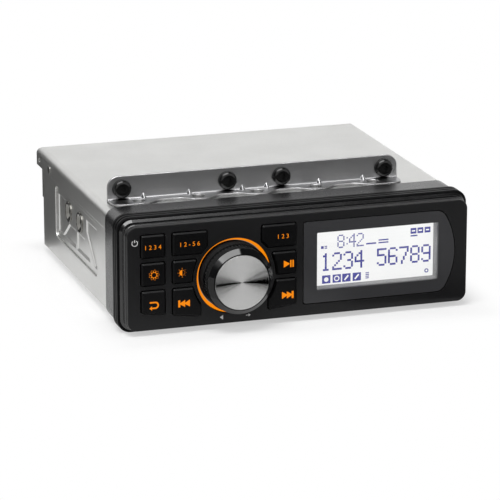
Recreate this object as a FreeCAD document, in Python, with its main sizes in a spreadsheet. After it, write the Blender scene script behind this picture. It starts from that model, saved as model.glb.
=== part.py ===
# Car audio receiver with a sealed front, nine keys, a turning and pushing knob,
# a display, a folded steel case and a mounting bracket on the cover.
# X runs to the right of the face, Y runs from the face to the back, Z runs up.
# Levels are first given from the face: Y 0 is its front and Z 0 its lower edge.
# Every piece is then placed so that the origin lies under the middle of the part.
import FreeCAD
import Part
import PartDesign
import Sketcher
import math
import os

Vector = FreeCAD.Vector

SIZES = (
    ("face_width", 188.0, "face plate width"),
    ("face_height", 56.0, "face plate height"),
    ("face_thick", 3.0, "face plate thickness"),
    ("face_corner", 5.0, "face plate corner radius"),
    ("face_edge", 0.4, "face plate front edge rounding"),
    ("seam_gap", 0.4, "shadow gap between face plate and bezel"),
    ("seam_inset", 0.8, "depth of that shadow gap"),
    ("bezel_over", 0.5, "bezel beyond the face plate, all round"),
    ("bezel_wall_side", 5.5, "bezel side wall"),
    ("bezel_wall_flat", 2.5, "bezel top and bottom wall"),
    ("bezel_flange", 5.6, "visible depth of the bezel"),
    ("bezel_edge", 0.8, "bezel front edge rounding"),
    ("shoulder_over", 1.3, "flared shoulder of the bezel beyond its sides"),
    ("shoulder_long", 1.4, "depth of that shoulder, before the gasket"),
    ("shoulder_bevel", 1.2, "bevel of that shoulder"),
    ("ledge_width", 4.0, "board ledge inside the bezel"),
    ("ledge_thick", 1.6, "board ledge thickness"),
    ("gasket_over", 3.0, "gasket beyond the face plate, all round"),
    ("gasket_depth", 9.5, "gasket depth"),
    ("gasket_corner", 7.0, "gasket corner radius"),
    ("gasket_edge", 0.8, "gasket edge rounding"),
    ("groove_deep", 0.7, "gasket groove depth"),
    ("groove_wide", 1.1, "gasket groove width"),
    ("collar_over", 2.0, "collar beyond the face plate, all round"),
    ("collar_depth", 17.1, "collar depth"),
    ("collar_corner", 6.5, "collar corner radius"),
    ("slip_fit", 0.1, "clearance of sleeves that slide together"),
    ("cover_over", 1.6, "cover beyond the face plate's sides"),
    ("cover_rise", 0.45, "cover above the face plate"),
    ("cover_depth", 147.4, "cover depth"),
    ("cover_bend", 4.0, "cover bend radius"),
    ("cover_lip", 10.4, "height of the cover's side and rear lips"),
    ("sheet", 1.0, "steel sheet thickness"),
    ("tub_floor", 1.3, "height of the tub's underside above the face plate's lower edge"),
    ("rear_recess", 10.3, "tub's rear end inside the cover's"),
    ("tub_step_back", 2.2, "upper rear edge of the tub's sides beyond the lower one"),
    ("tub_step_height", 27.7, "height of that step above the tub's underside"),
    ("tub_bend_gap", 0.4, "clearance of the tub's sides under the cover bend"),
    ("tub_front_rim", 7.0, "width of the tub's front wall round its opening"),
    ("panel_in_front", 21.8, "pressed side panel behind the tub's front"),
    ("panel_in_back", 27.1, "pressed side panel before the tub's rear end"),
    ("panel_up", 12.1, "pressed side panel above the tub's underside"),
    ("panel_down", 2.85, "pressed side panel below the cover's lip"),
    ("panel_corner", 4.0, "corner radius of the pressed side panel"),
    ("press_deep", 0.9, "depth of the pressed side panel"),
    ("field_deep", 0.7, "depth of the pressed fields in the side panel"),
    ("field_slope", 55.0, "slope of the field walls in degrees"),
    ("field_margin", 3.4, "fields from the ends of the side panel"),
    ("field_low", 3.6, "fields above the side panel's lower edge"),
    ("field_top", 4.0, "fields below the side panel's upper edge"),
    ("strut_wide", 3.0, "bands between the fields"),
    ("brace_run", 14.5, "length of the rear slanting band"),
    ("brace_slope", 0.9, "rise of the front slanting band"),
    ("brace_foot", 8.3, "front slanting band's foot from the panel's end"),
    ("brace_wide", 9.0, "width of the front slanting band's foot"),
    ("nut_band", 6.0, "upright band before the front clinch nut"),
    ("nut_clear", 1.0, "fields round the clinch nuts"),
    ("nut_in", 59.8, "front clinch nut behind the tub's front"),
    ("nut_pitch", 23.3, "distance of the two clinch nuts"),
    ("nut_down", 9.0, "clinch nuts below the side panel's upper edge"),
    ("nut_flange", 5.9, "clinch nut flange radius"),
    ("nut_flange_thick", 0.8, "clinch nut flange thickness"),
    ("nut_barrel", 4.0, "clinch nut barrel radius"),
    ("nut_bore", 2.1, "clinch nut bore radius"),
    ("nut_length", 6.0, "clinch nut length"),
    ("nut_dish", 4.6, "outer radius of the clinch nut's dished front"),
    ("nut_dish_deep", 1.4, "depth of that dish"),
    ("nut_dish_slope", 58.0, "slope of that dish in degrees"),
    ("lip_screw_down", 6.65, "cover screws below the cover's top"),
    ("lip_screw_in", 29.3, "cover screws before the cover's rear end"),
    ("dimple_in", 6.0, "cover lip dimples before the cover's rear end"),
    ("dimple_radius", 1.5, "cover lip dimple radius"),
    ("dimple_deep", 0.4, "cover lip dimple depth"),
    ("small_shank", 1.3, "shank radius of the case screws"),
    ("small_head", 2.2, "head radius of the case screws"),
    ("small_head_thick", 0.7, "head thickness of the case screws"),
    ("small_length", 4.0, "shank length of the case screws"),
    ("bezel_screw_in", 3.3, "bezel screws inside the bezel's sides"),
    ("bezel_screw_low", 12.0, "lower bezel screws above the lower edge"),
    ("bezel_screw_down", 12.0, "upper bezel screws below the upper edge"),
    ("bracket_in_left", 5.4, "bracket inside the cover's left side"),
    ("bracket_in_right", 22.8, "bracket inside the cover's right side"),
    ("bracket_sheet", 1.2, "bracket sheet thickness"),
    ("bracket_in_front", 15.4, "front of the bracket's wall behind the cover's front"),
    ("bracket_foot", 11.3, "depth of the bracket's foot"),
    ("bracket_height", 12.6, "height of the bracket's wall above its foot"),
    ("bracket_corner", 6.0, "corner radius of the bracket's wall"),
    ("bracket_bend", 0.8, "inner bend radius of the bracket"),
    ("foot_hole", 3.5, "radius of the foot's holes"),
    ("foot_hole_end", 15.7, "outer foot holes from the bracket's ends"),
    ("foot_hole_before", 5.5, "foot holes before the bracket's wall"),
    ("recess_deep", 5.4, "depth of the recesses between the foot's lobes"),
    ("lobe_tip", 3.5, "half width of the lobes at their front"),
    ("lobe_root", 10.5, "half width of the lobes at the recesses"),
    ("lobe_curve", 6.0, "rounding of the lobes and recesses"),
    ("gusset_near", 6.85, "inner gussets from the bracket's middle"),
    ("gusset_hole", 3.7, "middle gussets beyond the holes next to them"),
    ("gusset_screw", 11.95, "outer gussets from the outer bracket screws"),
    ("gusset_leg", 2.5, "gusset leg"),
    ("gusset_wide", 2.4, "gusset width"),
    ("gusset_ridge", 0.2, "width of a gusset's ridge"),
    ("bracket_screw_near", 15.2, "inner bracket screws from the bracket's middle"),
    ("bracket_screw_end", 7.75, "outer bracket screws from the bracket's ends"),
    ("bracket_screw_up", 5.8, "bracket screws above the foot"),
    ("bolt_head", 5.0, "bracket screw head radius"),
    ("bolt_head_thick", 3.0, "bracket screw head height"),
    ("bolt_dome", 1.9, "bracket screw head rounding"),
    ("bolt_shank", 2.5, "bracket screw shank radius"),
    ("bolt_length", 7.0, "bracket screw shank length"),
    ("bolt_hex", 1.7, "bracket screw socket radius"),
    ("bolt_hex_deep", 1.8, "bracket screw socket depth"),
    ("bolt_nut", 4.4, "bracket nut radius across corners"),
    ("bolt_nut_thick", 3.6, "bracket nut thickness"),
    ("knob_down", 2.6, "knob centre below the face plate's middle"),
    ("knob_clear", 2.04, "gap between knob flange and face plate"),
    ("knob_front", 13.2, "knob front before the face plate"),
    ("cap_in", 2.85, "knob cap inside the skirt"),
    ("cap_thick", 1.0, "knob cap thickness"),
    ("cap_edge", 0.4, "knob cap edge rounding"),
    ("cap_step", 0.3, "skirt front behind the cap front"),
    ("cap_rim", 0.4, "skirt round the cap"),
    ("bevel_length", 2.7, "length of the knob's front bevel"),
    ("skirt_radius", 17.7, "knob skirt radius"),
    ("skirt_length", 6.0, "length of the ribbed skirt"),
    ("flange_out", 0.8, "knob flange beyond the skirt"),
    ("flange_length", 8.5, "knob flange length"),
    ("knob_wall", 1.8, "knob wall thickness"),
    ("hub_radius", 5.2, "knob hub radius"),
    ("hub_short", 7.0, "hub end before the flange end"),
    ("rib_count", 60, "number of ribs on the skirt"),
    ("rib_deep", 0.35, "depth between the ribs"),
    ("rib_gap", 0.9, "width between the ribs"),
    ("shaft_radius", 3.0, "encoder shaft radius"),
    ("shaft_flat", 0.8, "depth of the shaft's flat"),
    ("shaft_fit", 0.02, "clearance of the shaft in the hub"),
    ("shaft_run", 0.06, "running clearance of the shaft"),
    ("knob_travel", 0.5, "push travel of the knob"),
    ("bush_radius", 4.5, "encoder bushing radius"),
    ("bush_front", 0.5, "bushing end before the face plate's front"),
    ("encoder_half", 6.25, "half width of the encoder body"),
    ("encoder_depth", 6.0, "depth of the encoder body"),
    ("encoder_wall", 1.1, "front and rear wall of the encoder body"),
    ("rotor_radius", 5.0, "encoder rotor radius"),
    ("rotor_thick", 2.0, "encoder rotor thickness"),
    ("rotor_gap", 0.1, "clearance round the encoder rotor"),
    ("ring_clear", 0.4, "light ring outside the knob flange"),
    ("ring_lap", 0.8, "light ring behind the face plate's edge"),
    ("ring_thick", 2.0, "light ring thickness"),
    ("key_land", 1.86, "face plate between knob and keys"),
    ("key_outer", 34.3, "outer edge of the middle keys from the knob centre"),
    ("key_inner_top", 14.3, "inner edge of the top keys from the knob centre"),
    ("key_inner_low", 18.0, "inner edge of the bottom keys from the knob centre"),
    ("column_gap", 3.0, "face plate between the left column and the next keys"),
    ("column_wide", 13.9, "width of the left column's keys"),
    ("column_edge", 6.6, "left column from the face plate's left edge"),
    ("row_edge", 4.0, "key rows below the face plate's upper edge"),
    ("row_foot", 6.95, "key rows above the face plate's lower edge, before the slant"),
    ("row_gap", 1.85, "face plate between the key rows"),
    ("row_base", 2.54, "bottom of the lower key row under the knob"),
    ("row_rise", 0.133, "rise of that bottom away from the knob"),
    ("key_corner", 1.5, "corner radius of the key openings"),
    ("key_gap", 0.5, "gap round a key cap"),
    ("key_proud", 1.6, "key cap before the face plate"),
    ("key_edge", 0.7, "key cap edge bevel"),
    ("key_lip", 0.5, "key lip behind the face plate"),
    ("key_lip_gap", 0.1, "key lip clearance at rest"),
    ("key_lip_thick", 0.9, "key lip thickness"),
    ("key_travel", 0.6, "key travel"),
    ("stem_radius", 1.2, "key stem radius"),
    ("stem_clear", 0.4, "clearance round a key stem"),
    ("switch_gap", 0.1, "gap of key stem and switch at full travel"),
    ("switch_half", 3.0, "half width of a key switch"),
    ("switch_body", 3.4, "height of a key switch"),
    ("switch_button", 1.6, "switch button radius"),
    ("switch_button_up", 0.7, "switch button height"),
    ("led_half", 0.8, "half width of a key light"),
    ("led_thick", 0.8, "key light height"),
    ("led_side", 4.6, "key light beside its switch"),
    ("guide_thick", 2.0, "light guide thickness"),
    ("guide_fit", 0.6, "light guide inside the bezel's bore"),
    ("guide_lens", 1.8, "light guide left of the display panel"),
    ("guide_edge", 3.0, "light guide inside the face plate's height"),
    ("guide_hole", 13.0, "hole of the light guide round the knob"),
    ("guide_leg", 1.4, "light guide leg radius"),
    ("guide_leg_left", 5.4, "light guide legs from its left edge"),
    ("guide_leg_right", 2.6, "light guide legs from its right edge"),
    ("board_front", 12.0, "front board from the face"),
    ("board_fit", 1.0, "front board inside the bezel's bore"),
    ("board_low", 4.0, "front board above the face plate's lower edge"),
    ("board_thick", 1.6, "circuit board thickness"),
    ("board_screw_side", 1.6, "front board screws from the board's sides"),
    ("board_screw_in", 2.5, "front board screws from the board's upper and lower edges"),
    ("board_shank", 0.8, "front board screw shank radius"),
    ("board_head", 1.5, "front board screw head radius"),
    ("board_head_thick", 1.2, "front board screw head height"),
    ("lens_key", 3.3, "face plate between the keys and the display panel"),
    ("lens_down", 4.4, "display panel below the face plate's upper edge"),
    ("lens_low", 5.9, "bottom of the display panel"),
    ("lens_edge", 6.5, "display panel from the face plate's right edge"),
    ("lens_arc", 38.6, "radius of the display panel's right side"),
    ("lens_thick", 1.2, "display panel thickness"),
    ("lens_gap", 0.65, "gap round the display panel"),
    ("lens_corner", 6.0, "right corner radius of the display panel"),
    ("lens_corner_left", 1.5, "left corner radius of the display panel"),
    ("window_in_left", 8.0, "display opening from the display panel's left edge"),
    ("window_in_right", 9.8, "display opening from the display panel's right edge"),
    ("window_up", 7.45, "display opening above the display panel's lower edge"),
    ("window_down", 6.9, "display opening below the display panel's upper edge"),
    ("window_corner", 0.6, "corner radius of the display opening"),
    ("pane_lap", 2.0, "window pane beyond the display opening"),
    ("pane_thick", 1.0, "window pane thickness"),
    ("frame_nose", 1.0, "wall of the display frame inside the face plate"),
    ("frame_wall", 2.4, "wall of the display frame"),
    ("lcd_front", 8.0, "LCD glass from the face"),
    ("lcd_lap", 3.0, "LCD glass beyond the display opening"),
    ("lcd_thick", 1.6, "LCD glass thickness"),
    ("main_level", 8.0, "main board above the face plate's lower edge"),
    ("main_side", 5.6, "main board inside the tub's sides"),
    ("main_in_front", 6.4, "main board behind the tub's front"),
    ("main_in_back", 7.7, "main board before the rear panel"),
    ("standoff_radius", 3.0, "standoff radius"),
    ("standoff_in", 8.0, "standoffs from the main board's edges"),
    ("tuner_wide", 34.0, "tuner module width"),
    ("tuner_long", 44.0, "tuner module length"),
    ("tuner_high", 13.0, "tuner module height"),
    ("tuner_in", 13.0, "tuner module from the main board's left edge"),
    ("tuner_rear", 16.0, "tuner module from the main board's rear edge"),
    ("chip_wide", 26.0, "amplifier chip width"),
    ("chip_thick", 4.5, "amplifier chip thickness"),
    ("chip_high", 18.0, "amplifier chip height"),
    ("sink_in", 2.0, "heat sink from the main board's right edge"),
    ("sink_wide", 22.0, "heat sink width"),
    ("sink_long", 40.0, "heat sink length"),
    ("sink_before", 2.8, "heat sink behind the head of the main board's middle screw"),
    ("sink_base", 5.0, "heat sink base thickness"),
    ("sink_fin", 2.0, "heat sink fin thickness"),
    ("sink_pitch", 6.0, "heat sink fin pitch"),
    ("sink_high", 36.0, "heat sink height"),
    ("cap_big_radius", 8.0, "large capacitor radius"),
    ("cap_big_high", 25.0, "large capacitor height"),
    ("cap_big_x", 22.0, "large capacitors right of the middle"),
    ("cap_big_in", 24.0, "first large capacitor from the main board's front edge"),
    ("cap_pitch", 20.0, "distance of the large capacitors"),
    ("cap_count", 4, "number of large capacitors"),
    ("choke_radius", 11.0, "power choke radius"),
    ("choke_hole", 5.0, "power choke hole radius"),
    ("choke_high", 9.0, "power choke height"),
    ("choke_edge", 2.25, "power choke edge rounding"),
    ("choke_in", 26.0, "power choke from the main board's left edge"),
    ("choke_before", 24.0, "power choke before the tuner module"),
    ("plug_wide", 24.0, "ribbon connector width"),
    ("plug_thick", 4.0, "ribbon connector thickness"),
    ("plug_high", 5.0, "ribbon connector height"),
    ("plug_z", 24.0, "front ribbon connector height above the lower edge"),
    ("plug_in", 8.0, "rear ribbon connector from the main board's front edge"),
    ("ribbon_wide", 20.0, "ribbon width"),
    ("ribbon_thick", 0.5, "ribbon thickness"),
    ("ribbon_bend", 2.5, "ribbon bend radius"),
    ("rear_screw_in", 24.0, "outer rear panel screws from its ends"),
    ("rear_flange", 9.0, "rear panel's foot"),
    ("harness_in", 33.0, "harness socket's middle from the main board's left edge"),
    ("harness_half", 20.0, "half width of the harness socket"),
    ("harness_high", 17.0, "harness socket height"),
    ("harness_long", 26.0, "harness socket length"),
    ("harness_out", 7.0, "harness socket beyond the rear panel"),
    ("harness_wall", 1.8, "harness socket wall"),
    ("harness_deep", 15.0, "harness socket cavity depth"),
    ("contact_half", 0.5, "half width of a harness contact"),
    ("contact_long", 8.0, "length of a harness contact in the cavity"),
    ("contact_pitch", 4.6, "harness contact pitch"),
    ("contact_count", 8, "harness contacts in a row"),
    ("contact_row", 2.6, "harness contact rows from the socket's middle"),
    ("antenna_x", 12.0, "antenna socket right of the middle"),
    ("antenna_z", 19.0, "antenna socket height above the lower edge"),
    ("antenna_radius", 6.0, "antenna socket radius"),
    ("antenna_bore", 4.2, "antenna socket bore radius"),
    ("antenna_long", 24.0, "antenna socket length"),
    ("antenna_out", 8.0, "antenna socket beyond the rear panel"),
    ("antenna_deep", 16.0, "antenna socket bore depth"),
    ("antenna_foot", 5.0, "half width of the antenna socket's foot"),
    ("jack_x", 30.0, "first phono jack right of the middle"),
    ("jack_pitch", 14.0, "distance of the phono jacks"),
    ("jack_low", 18.0, "lower phono jacks above the lower edge"),
    ("jack_rise", 14.0, "upper phono jacks above the lower ones"),
    ("jack_count", 2, "phono jacks in a row"),
    ("jack_radius", 4.15, "phono jack barrel radius"),
    ("jack_out", 8.0, "phono jack barrel beyond the rear panel"),
    ("jack_ring", 5.6, "radius of the ring at a phono jack barrel's foot"),
    ("jack_ring_out", 0.5, "that ring beyond the rear panel"),
    ("jack_bore", 1.7, "phono jack bore radius"),
    ("jack_block", 10.0, "depth of the phono jack block"),
    ("jack_edge", 6.4, "phono jack block round the jack centres"),
    ("fuse_beside", 32.0, "fuse right of the harness socket's middle"),
    ("fuse_half", 9.5, "half width of the fuse"),
    ("fuse_thick", 4.0, "fuse thickness"),
    ("fuse_out", 6.0, "fuse beyond the fuse holder"),
    ("fuse_in", 8.0, "fuse inside the fuse holder"),
    ("fuse_wall", 1.6, "fuse holder wall"),
    ("fuse_z", 20.0, "fuse height above the lower edge"),
    ("fuse_long", 18.0, "fuse holder length"),
    ("cut_gap", 0.3, "clearance of the rear panel's cut-outs"),
)

# Two edges closer than this, in millimetres, are at the same level.
EDGE_TOLERANCE = 0.001

# A whole turn in degrees.
FULL_TURN = 360

# Directions in which outlines are drawn and made solid.
FRONT = ("XZ_Plane", -1)
FLOOR = ("XY_Plane", 1)
SIDE = ("YZ_Plane", 1)


class Size:
    """A number together with the spreadsheet formula that gives it."""

    def __init__(self, value, text):
        self.value = float(value)
        self.text = text

    def __add__(self, other):
        other = as_size(other)
        return Size(self.value + other.value, f"({self.text} + {other.text})")

    def __radd__(self, other):
        return as_size(other) + self

    def __sub__(self, other):
        other = as_size(other)
        return Size(self.value - other.value, f"({self.text} - {other.text})")

    def __rsub__(self, other):
        return as_size(other) - self

    def __mul__(self, other):
        other = as_size(other)
        return Size(self.value * other.value, f"({self.text} * {other.text})")

    def __rmul__(self, other):
        return as_size(other) * self

    def __truediv__(self, other):
        other = as_size(other)
        return Size(self.value / other.value, f"({self.text} / {other.text})")

    def __neg__(self):
        return Size(-self.value, f"(0 - {self.text})")


def as_size(item):
    return item if isinstance(item, Size) else Size(item, repr(float(item)))


def root(item):
    return Size(math.sqrt(item.value), f"sqrt({item.text})")


class Table:
    """The spreadsheet of driving sizes; each alias reads as a Size."""

    def __init__(self, document, rows):
        page = document.addObject("Spreadsheet::Sheet", "sizes")
        for row, (alias, value, note) in enumerate(rows, start=1):
            page.set(f"A{row}", note)
            page.set(f"B{row}", repr(value))
            page.setAlias(f"B{row}", alias)
            setattr(self, alias, Size(value, f"sizes.{alias}"))


doc = FreeCAD.newDocument("car_audio_receiver")
S = Table(doc, SIZES)
doc.recompute()

# Levels that several pieces share.
face_half = S.face_width / 2
face_back = S.face_thick
bezel_front = face_back + S.seam_gap
bezel_half = face_half + S.bezel_over
bezel_low = -S.bezel_over
bezel_high = S.face_height + S.bezel_over
bezel_corner = S.face_corner + S.bezel_over
bore_half = bezel_half - S.bezel_wall_side
bore_low = bezel_low + S.bezel_wall_flat
bore_high = bezel_high - S.bezel_wall_flat
gasket_front = bezel_front + S.bezel_flange
gasket_back = gasket_front + S.gasket_depth
case_front = gasket_back + S.collar_depth
cover_half = face_half + S.cover_over
cover_top = S.face_height + S.cover_rise
cover_back = case_front + S.cover_depth
cover_lip_low = cover_top - S.cover_lip
lip_screw_y = cover_back - S.lip_screw_in
lip_screw_z = cover_top - S.lip_screw_down
tub_half = cover_half - S.sheet
tub_back = cover_back - S.rear_recess
tub_in = tub_half - S.sheet
tub_deck = S.tub_floor + S.sheet
tub_top = cover_top - S.cover_bend - S.tub_bend_gap
rear_front = tub_back - S.sheet
panel_front = case_front + S.panel_in_front
panel_end = tub_back - S.panel_in_back
panel_low = S.tub_floor + S.panel_up
panel_top = cover_lip_low - S.panel_down
nut_front = case_front + S.nut_in
nut_height = panel_top - S.nut_down
column_inner = S.key_outer + S.column_gap
column_outer = column_inner + S.column_wide
knob_x = column_outer + S.column_edge - face_half
knob_z = S.face_height / 2 - S.knob_down
cap_radius = S.skirt_radius - S.cap_in
flange_radius = S.skirt_radius + S.flange_out
knob_hole = flange_radius + S.knob_clear
key_arc = knob_hole + S.key_land
row_pitch = (S.face_height - S.row_edge - S.row_foot) / 3
row_top = S.face_height - S.row_edge
row_mid = row_top - row_pitch
row_low = row_mid - row_pitch
row_top_base = row_mid + S.row_gap
row_mid_base = row_low + S.row_gap
guide_front = face_back + S.ring_thick
guide_back = guide_front + S.guide_thick
encoder_front = S.board_front - S.encoder_depth
rotor_front = encoder_front + S.encoder_wall + S.rotor_gap
board_half = bore_half - S.board_fit
board_back = S.board_front + S.board_thick
board_high = S.face_height - S.board_low
key_back = face_back + S.key_lip_gap + S.key_lip_thick
switch_top = S.board_front - S.switch_body - S.switch_button_up
stem_end = switch_top - S.switch_gap - S.key_travel
lens_left = knob_x + S.key_outer + S.lens_key
lens_right = face_half - S.lens_edge
lens_top = S.face_height - S.lens_down
window_left = lens_left + S.window_in_left
window_right = lens_right - S.window_in_right
window_low = S.lens_low + S.window_up
window_top = lens_top - S.window_down
pane_back = S.lens_thick + S.pane_thick
main_top = S.main_level + S.board_thick
main_half = tub_in - S.main_side
main_front = case_front + S.main_in_front
main_back = rear_front - S.main_in_back
main_middle = (main_front + main_back) / 2
tuner_front = main_back - S.tuner_rear - S.tuner_long
harness_x = S.harness_in - main_half
fuse_x = harness_x + S.fuse_beside
skirt_front = -S.knob_front + S.bevel_length
flange_front = skirt_front + S.skirt_length
flange_back = flange_front + S.flange_length
bracket_left = S.bracket_in_left - cover_half
bracket_right = cover_half - S.bracket_in_right
bracket_x = (bracket_left + bracket_right) / 2
bracket_half = (bracket_right - bracket_left) / 2
bracket_wall = case_front + S.bracket_in_front
bracket_back = bracket_wall + S.bracket_sheet
foot_top = cover_top + S.bracket_sheet
foot_hole_pitch = (bracket_half - S.foot_hole_end) / 2
bracket_screw_far = bracket_half - S.bracket_screw_end
bracket_screw_z = foot_top + S.bracket_screw_up
bracket_screws = (
    bracket_x - bracket_screw_far,
    bracket_x - S.bracket_screw_near,
    bracket_x + S.bracket_screw_near,
    bracket_x + bracket_screw_far,
)

# The part's origin, on the line of the face plate's lower edge and front.
origin_y = (cover_back - S.knob_front) / 2
origin_z = -S.gasket_over

exported = []


def bind(item, name, size):
    item.setExpression(name, as_size(size).text)


def place(item, label):
    """Name a finished piece and set it about the part's origin."""
    item.Label = label
    bind(item, "Placement.Base.y", -origin_y)
    bind(item, "Placement.Base.z", -origin_z)
    exported.append(item)


def new_body(label):
    item = doc.addObject("PartDesign::Body", label)
    place(item, label)
    return item


def new_sketch(host, plane, level):
    """A sketch on a plane parallel to one of the body's own origin planes."""
    role, sign = plane
    origin_plane = [item for item in host.Origin.OriginFeatures if item.Role == role][0]
    item = host.newObject("Sketcher::SketchObject", f"{host.Name}_outline")
    item.AttachmentSupport = [(origin_plane, "")]
    item.MapMode = "FlatFace"
    bind(item, "AttachmentOffset.Base.z", as_size(level) * sign)
    return item


def fix(sketch, constraint, size):
    sketch.addConstraint(constraint)
    bind(sketch, f"Constraints[{sketch.ConstraintCount - 1}]", size)


def fix_point(sketch, edge, end, x, y):
    """Hold one end of an edge at its place from the sketch's origin."""
    fix(sketch, Sketcher.Constraint("DistanceX", -1, 1, edge, end, x.value), x)
    fix(sketch, Sketcher.Constraint("DistanceY", -1, 1, edge, end, y.value), y)


def angle(centre, corner):
    return math.atan2(corner[1].value - centre[1].value, corner[0].value - centre[0].value)


def draw_outline(sketch, corners):
    """Draw a closed outline; a corner may give the arc that leaves it as centre, radius, turn."""
    first = sketch.GeometryCount
    count = len(corners)
    ends = []
    for index, corner in enumerate(corners):
        following = corners[(index + 1) % count]
        start = Vector(corner[0].value, corner[1].value, 0)
        end = Vector(following[0].value, following[1].value, 0)
        if len(corner) == 2:
            sketch.addGeometry(Part.LineSegment(start, end), False)
            ends.append((1, 2))
            continue
        centre, radius, turn = corner[2]
        circle = Part.Circle(Vector(centre[0].value, centre[1].value, 0), Vector(0, 0, 1), radius.value)
        if turn > 0:
            arc = Part.ArcOfCircle(circle, angle(centre, corner), angle(centre, following))
            ends.append((1, 2))
        else:
            arc = Part.ArcOfCircle(circle, angle(centre, following), angle(centre, corner))
            ends.append((2, 1))
        sketch.addGeometry(arc, False)
    for index in range(count):
        after = (index + 1) % count
        sketch.addConstraint(
            Sketcher.Constraint("Coincident", first + index, ends[index][1], first + after, ends[after][0])
        )
    for index, corner in enumerate(corners):
        fix_point(sketch, first + index, ends[index][0], corner[0], corner[1])
        if len(corner) == 3:
            radius = corner[2][1]
            fix(sketch, Sketcher.Constraint("Radius", first + index, radius.value), radius)


def draw_circle(sketch, x, y, radius):
    edge = sketch.GeometryCount
    circle = Part.Circle(Vector(x.value, y.value, 0), Vector(0, 0, 1), radius.value)
    sketch.addGeometry(circle, False)
    fix(sketch, Sketcher.Constraint("Radius", edge, radius.value), radius)
    fix_point(sketch, edge, 3, x, y)


def rect(x0, y0, x1, y1):
    x0, y0, x1, y1 = as_size(x0), as_size(y0), as_size(x1), as_size(y1)
    return [(x0, y0), (x1, y0), (x1, y1), (x0, y1)]


def square(x, y, half):
    return rect(x - half, y - half, x + half, y + half)


def soft_rect(x0, y0, x1, y1, radius):
    """A rectangle with round corners."""
    x0, y0, x1, y1, radius = (as_size(item) for item in (x0, y0, x1, y1, radius))
    left, right, low, high = x0 + radius, x1 - radius, y0 + radius, y1 - radius
    return [
        (left, y0),
        (right, y0, ((right, low), radius, 1)),
        (x1, low),
        (x1, high, ((right, high), radius, 1)),
        (right, y1),
        (left, y1, ((left, high), radius, 1)),
        (x0, high),
        (x0, low, ((left, low), radius, 1)),
    ]


def hexagon(x, y, radius):
    """A hexagon with two corners on the horizontal line through its middle."""
    half = radius / 2
    rise = root(as_size(3)) * half
    return [
        (x + radius, as_size(y)),
        (x + half, y + rise),
        (x - half, y + rise),
        (x - radius, as_size(y)),
        (x - half, y - rise),
        (x + half, y - rise),
    ]


def disc(x, y, radius):
    return ("disc", as_size(x), as_size(y), as_size(radius))


def draw(host, plane, level, shapes):
    sketch = new_sketch(host, plane, level)
    for shape in shapes:
        if shape[0] == "disc":
            draw_circle(sketch, *shape[1:])
        else:
            draw_outline(sketch, shape)
    return sketch


def span(start, end):
    """The length between two levels, and whether it runs along the axis."""
    start, end = as_size(start), as_size(end)
    rising = start.value < end.value
    return end - start if rising else start - end, rising


def add(host, plane, start, end, *shapes):
    """Add material from one level to another along the plane's axis."""
    sketch = draw(host, plane, start, shapes)
    length, rising = span(start, end)
    feature = host.newObject("PartDesign::Pad", f"{host.Name}_pad")
    feature.Profile = sketch
    feature.Reversed = rising == (plane is FRONT)
    bind(feature, "Length", length)
    doc.recompute()


def cut(host, plane, start, end, *shapes, slope=None):
    """Remove material from one level to another along the plane's axis, narrowing by a slope."""
    before = host.Shape.Volume
    sketch = draw(host, plane, start, shapes)
    length, rising = span(start, end)
    feature = host.newObject("PartDesign::Pocket", f"{host.Name}_pocket")
    feature.Profile = sketch
    feature.Reversed = rising != (plane is FRONT)
    bind(feature, "Length", length)
    if slope is not None:
        bind(feature, "TaperAngle", -slope)
    doc.recompute()
    if not host.Shape.Volume < before:
        raise ValueError(f"{feature.Name} of {host.Name} removes nothing")


def spin(host, outline, x, z):
    """Turn an outline of radius and depth about an axis along Y through x, z."""
    sketch = host.newObject("Sketcher::SketchObject", f"{host.Name}_turned")
    origin_plane = [item for item in host.Origin.OriginFeatures if item.Role == "XY_Plane"][0]
    sketch.AttachmentSupport = [(origin_plane, "")]
    sketch.MapMode = "FlatFace"
    bind(sketch, "AttachmentOffset.Base.x", x)
    bind(sketch, "AttachmentOffset.Base.z", z)
    draw_outline(sketch, outline)
    feature = host.newObject("PartDesign::Revolution", f"{host.Name}_round")
    feature.Profile = sketch
    feature.ReferenceAxis = (sketch, ["V_Axis"])
    feature.Angle = FULL_TURN
    doc.recompute()


def ease(host, kind, size, chosen):
    """Round or bevel the edges of the current shape that a test chooses."""
    tip = host.Tip
    names = [f"Edge{index}" for index, edge in enumerate(tip.Shape.Edges, start=1) if chosen(edge)]
    if not names:
        raise ValueError(f"no edge of {host.Name} is chosen")
    feature = host.newObject(f"PartDesign::{kind}", f"{host.Name}_edge")
    feature.Base = (tip, names)
    bind(feature, "Radius" if kind == "Fillet" else "Size", size)
    doc.recompute()


def hollow(host, wall, chosen):
    """Leave a shell of one wall thickness, open at the faces that a test chooses."""
    tip = host.Tip
    names = [f"Face{index}" for index, face in enumerate(tip.Shape.Faces, start=1) if chosen(face)]
    feature = host.newObject("PartDesign::Thickness", f"{host.Name}_shell")
    feature.Base = (tip, names)
    feature.Reversed = True
    bind(feature, "Value", wall)
    doc.recompute()


def on_level(axis, size):
    """Choose the edges or faces that lie wholly at one level of an axis."""
    level = as_size(size).value

    def chosen(item):
        box = item.BoundBox
        low, high = getattr(box, axis + "Min"), getattr(box, axis + "Max")
        return abs(low - level) < EDGE_TOLERANCE and abs(high - level) < EDGE_TOLERANCE

    return chosen


def inside(chosen, x0, x1, z0, z1):
    """Keep the chosen edges within a window of X and Z."""
    x0, x1, z0, z1 = (as_size(item).value for item in (x0, x1, z0, z1))

    def kept(edge):
        box = edge.BoundBox
        return chosen(edge) and x0 < box.Center.x < x1 and z0 < box.Center.z < z1

    return kept


def along(axis):
    """Choose the straight edges that run along one axis."""
    def chosen(edge):
        box = edge.BoundBox
        lengths = {"X": box.XLength, "Y": box.YLength, "Z": box.ZLength}
        length = lengths.pop(axis)
        return length > EDGE_TOLERANCE and max(lengths.values()) < EDGE_TOLERANCE

    return chosen


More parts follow.
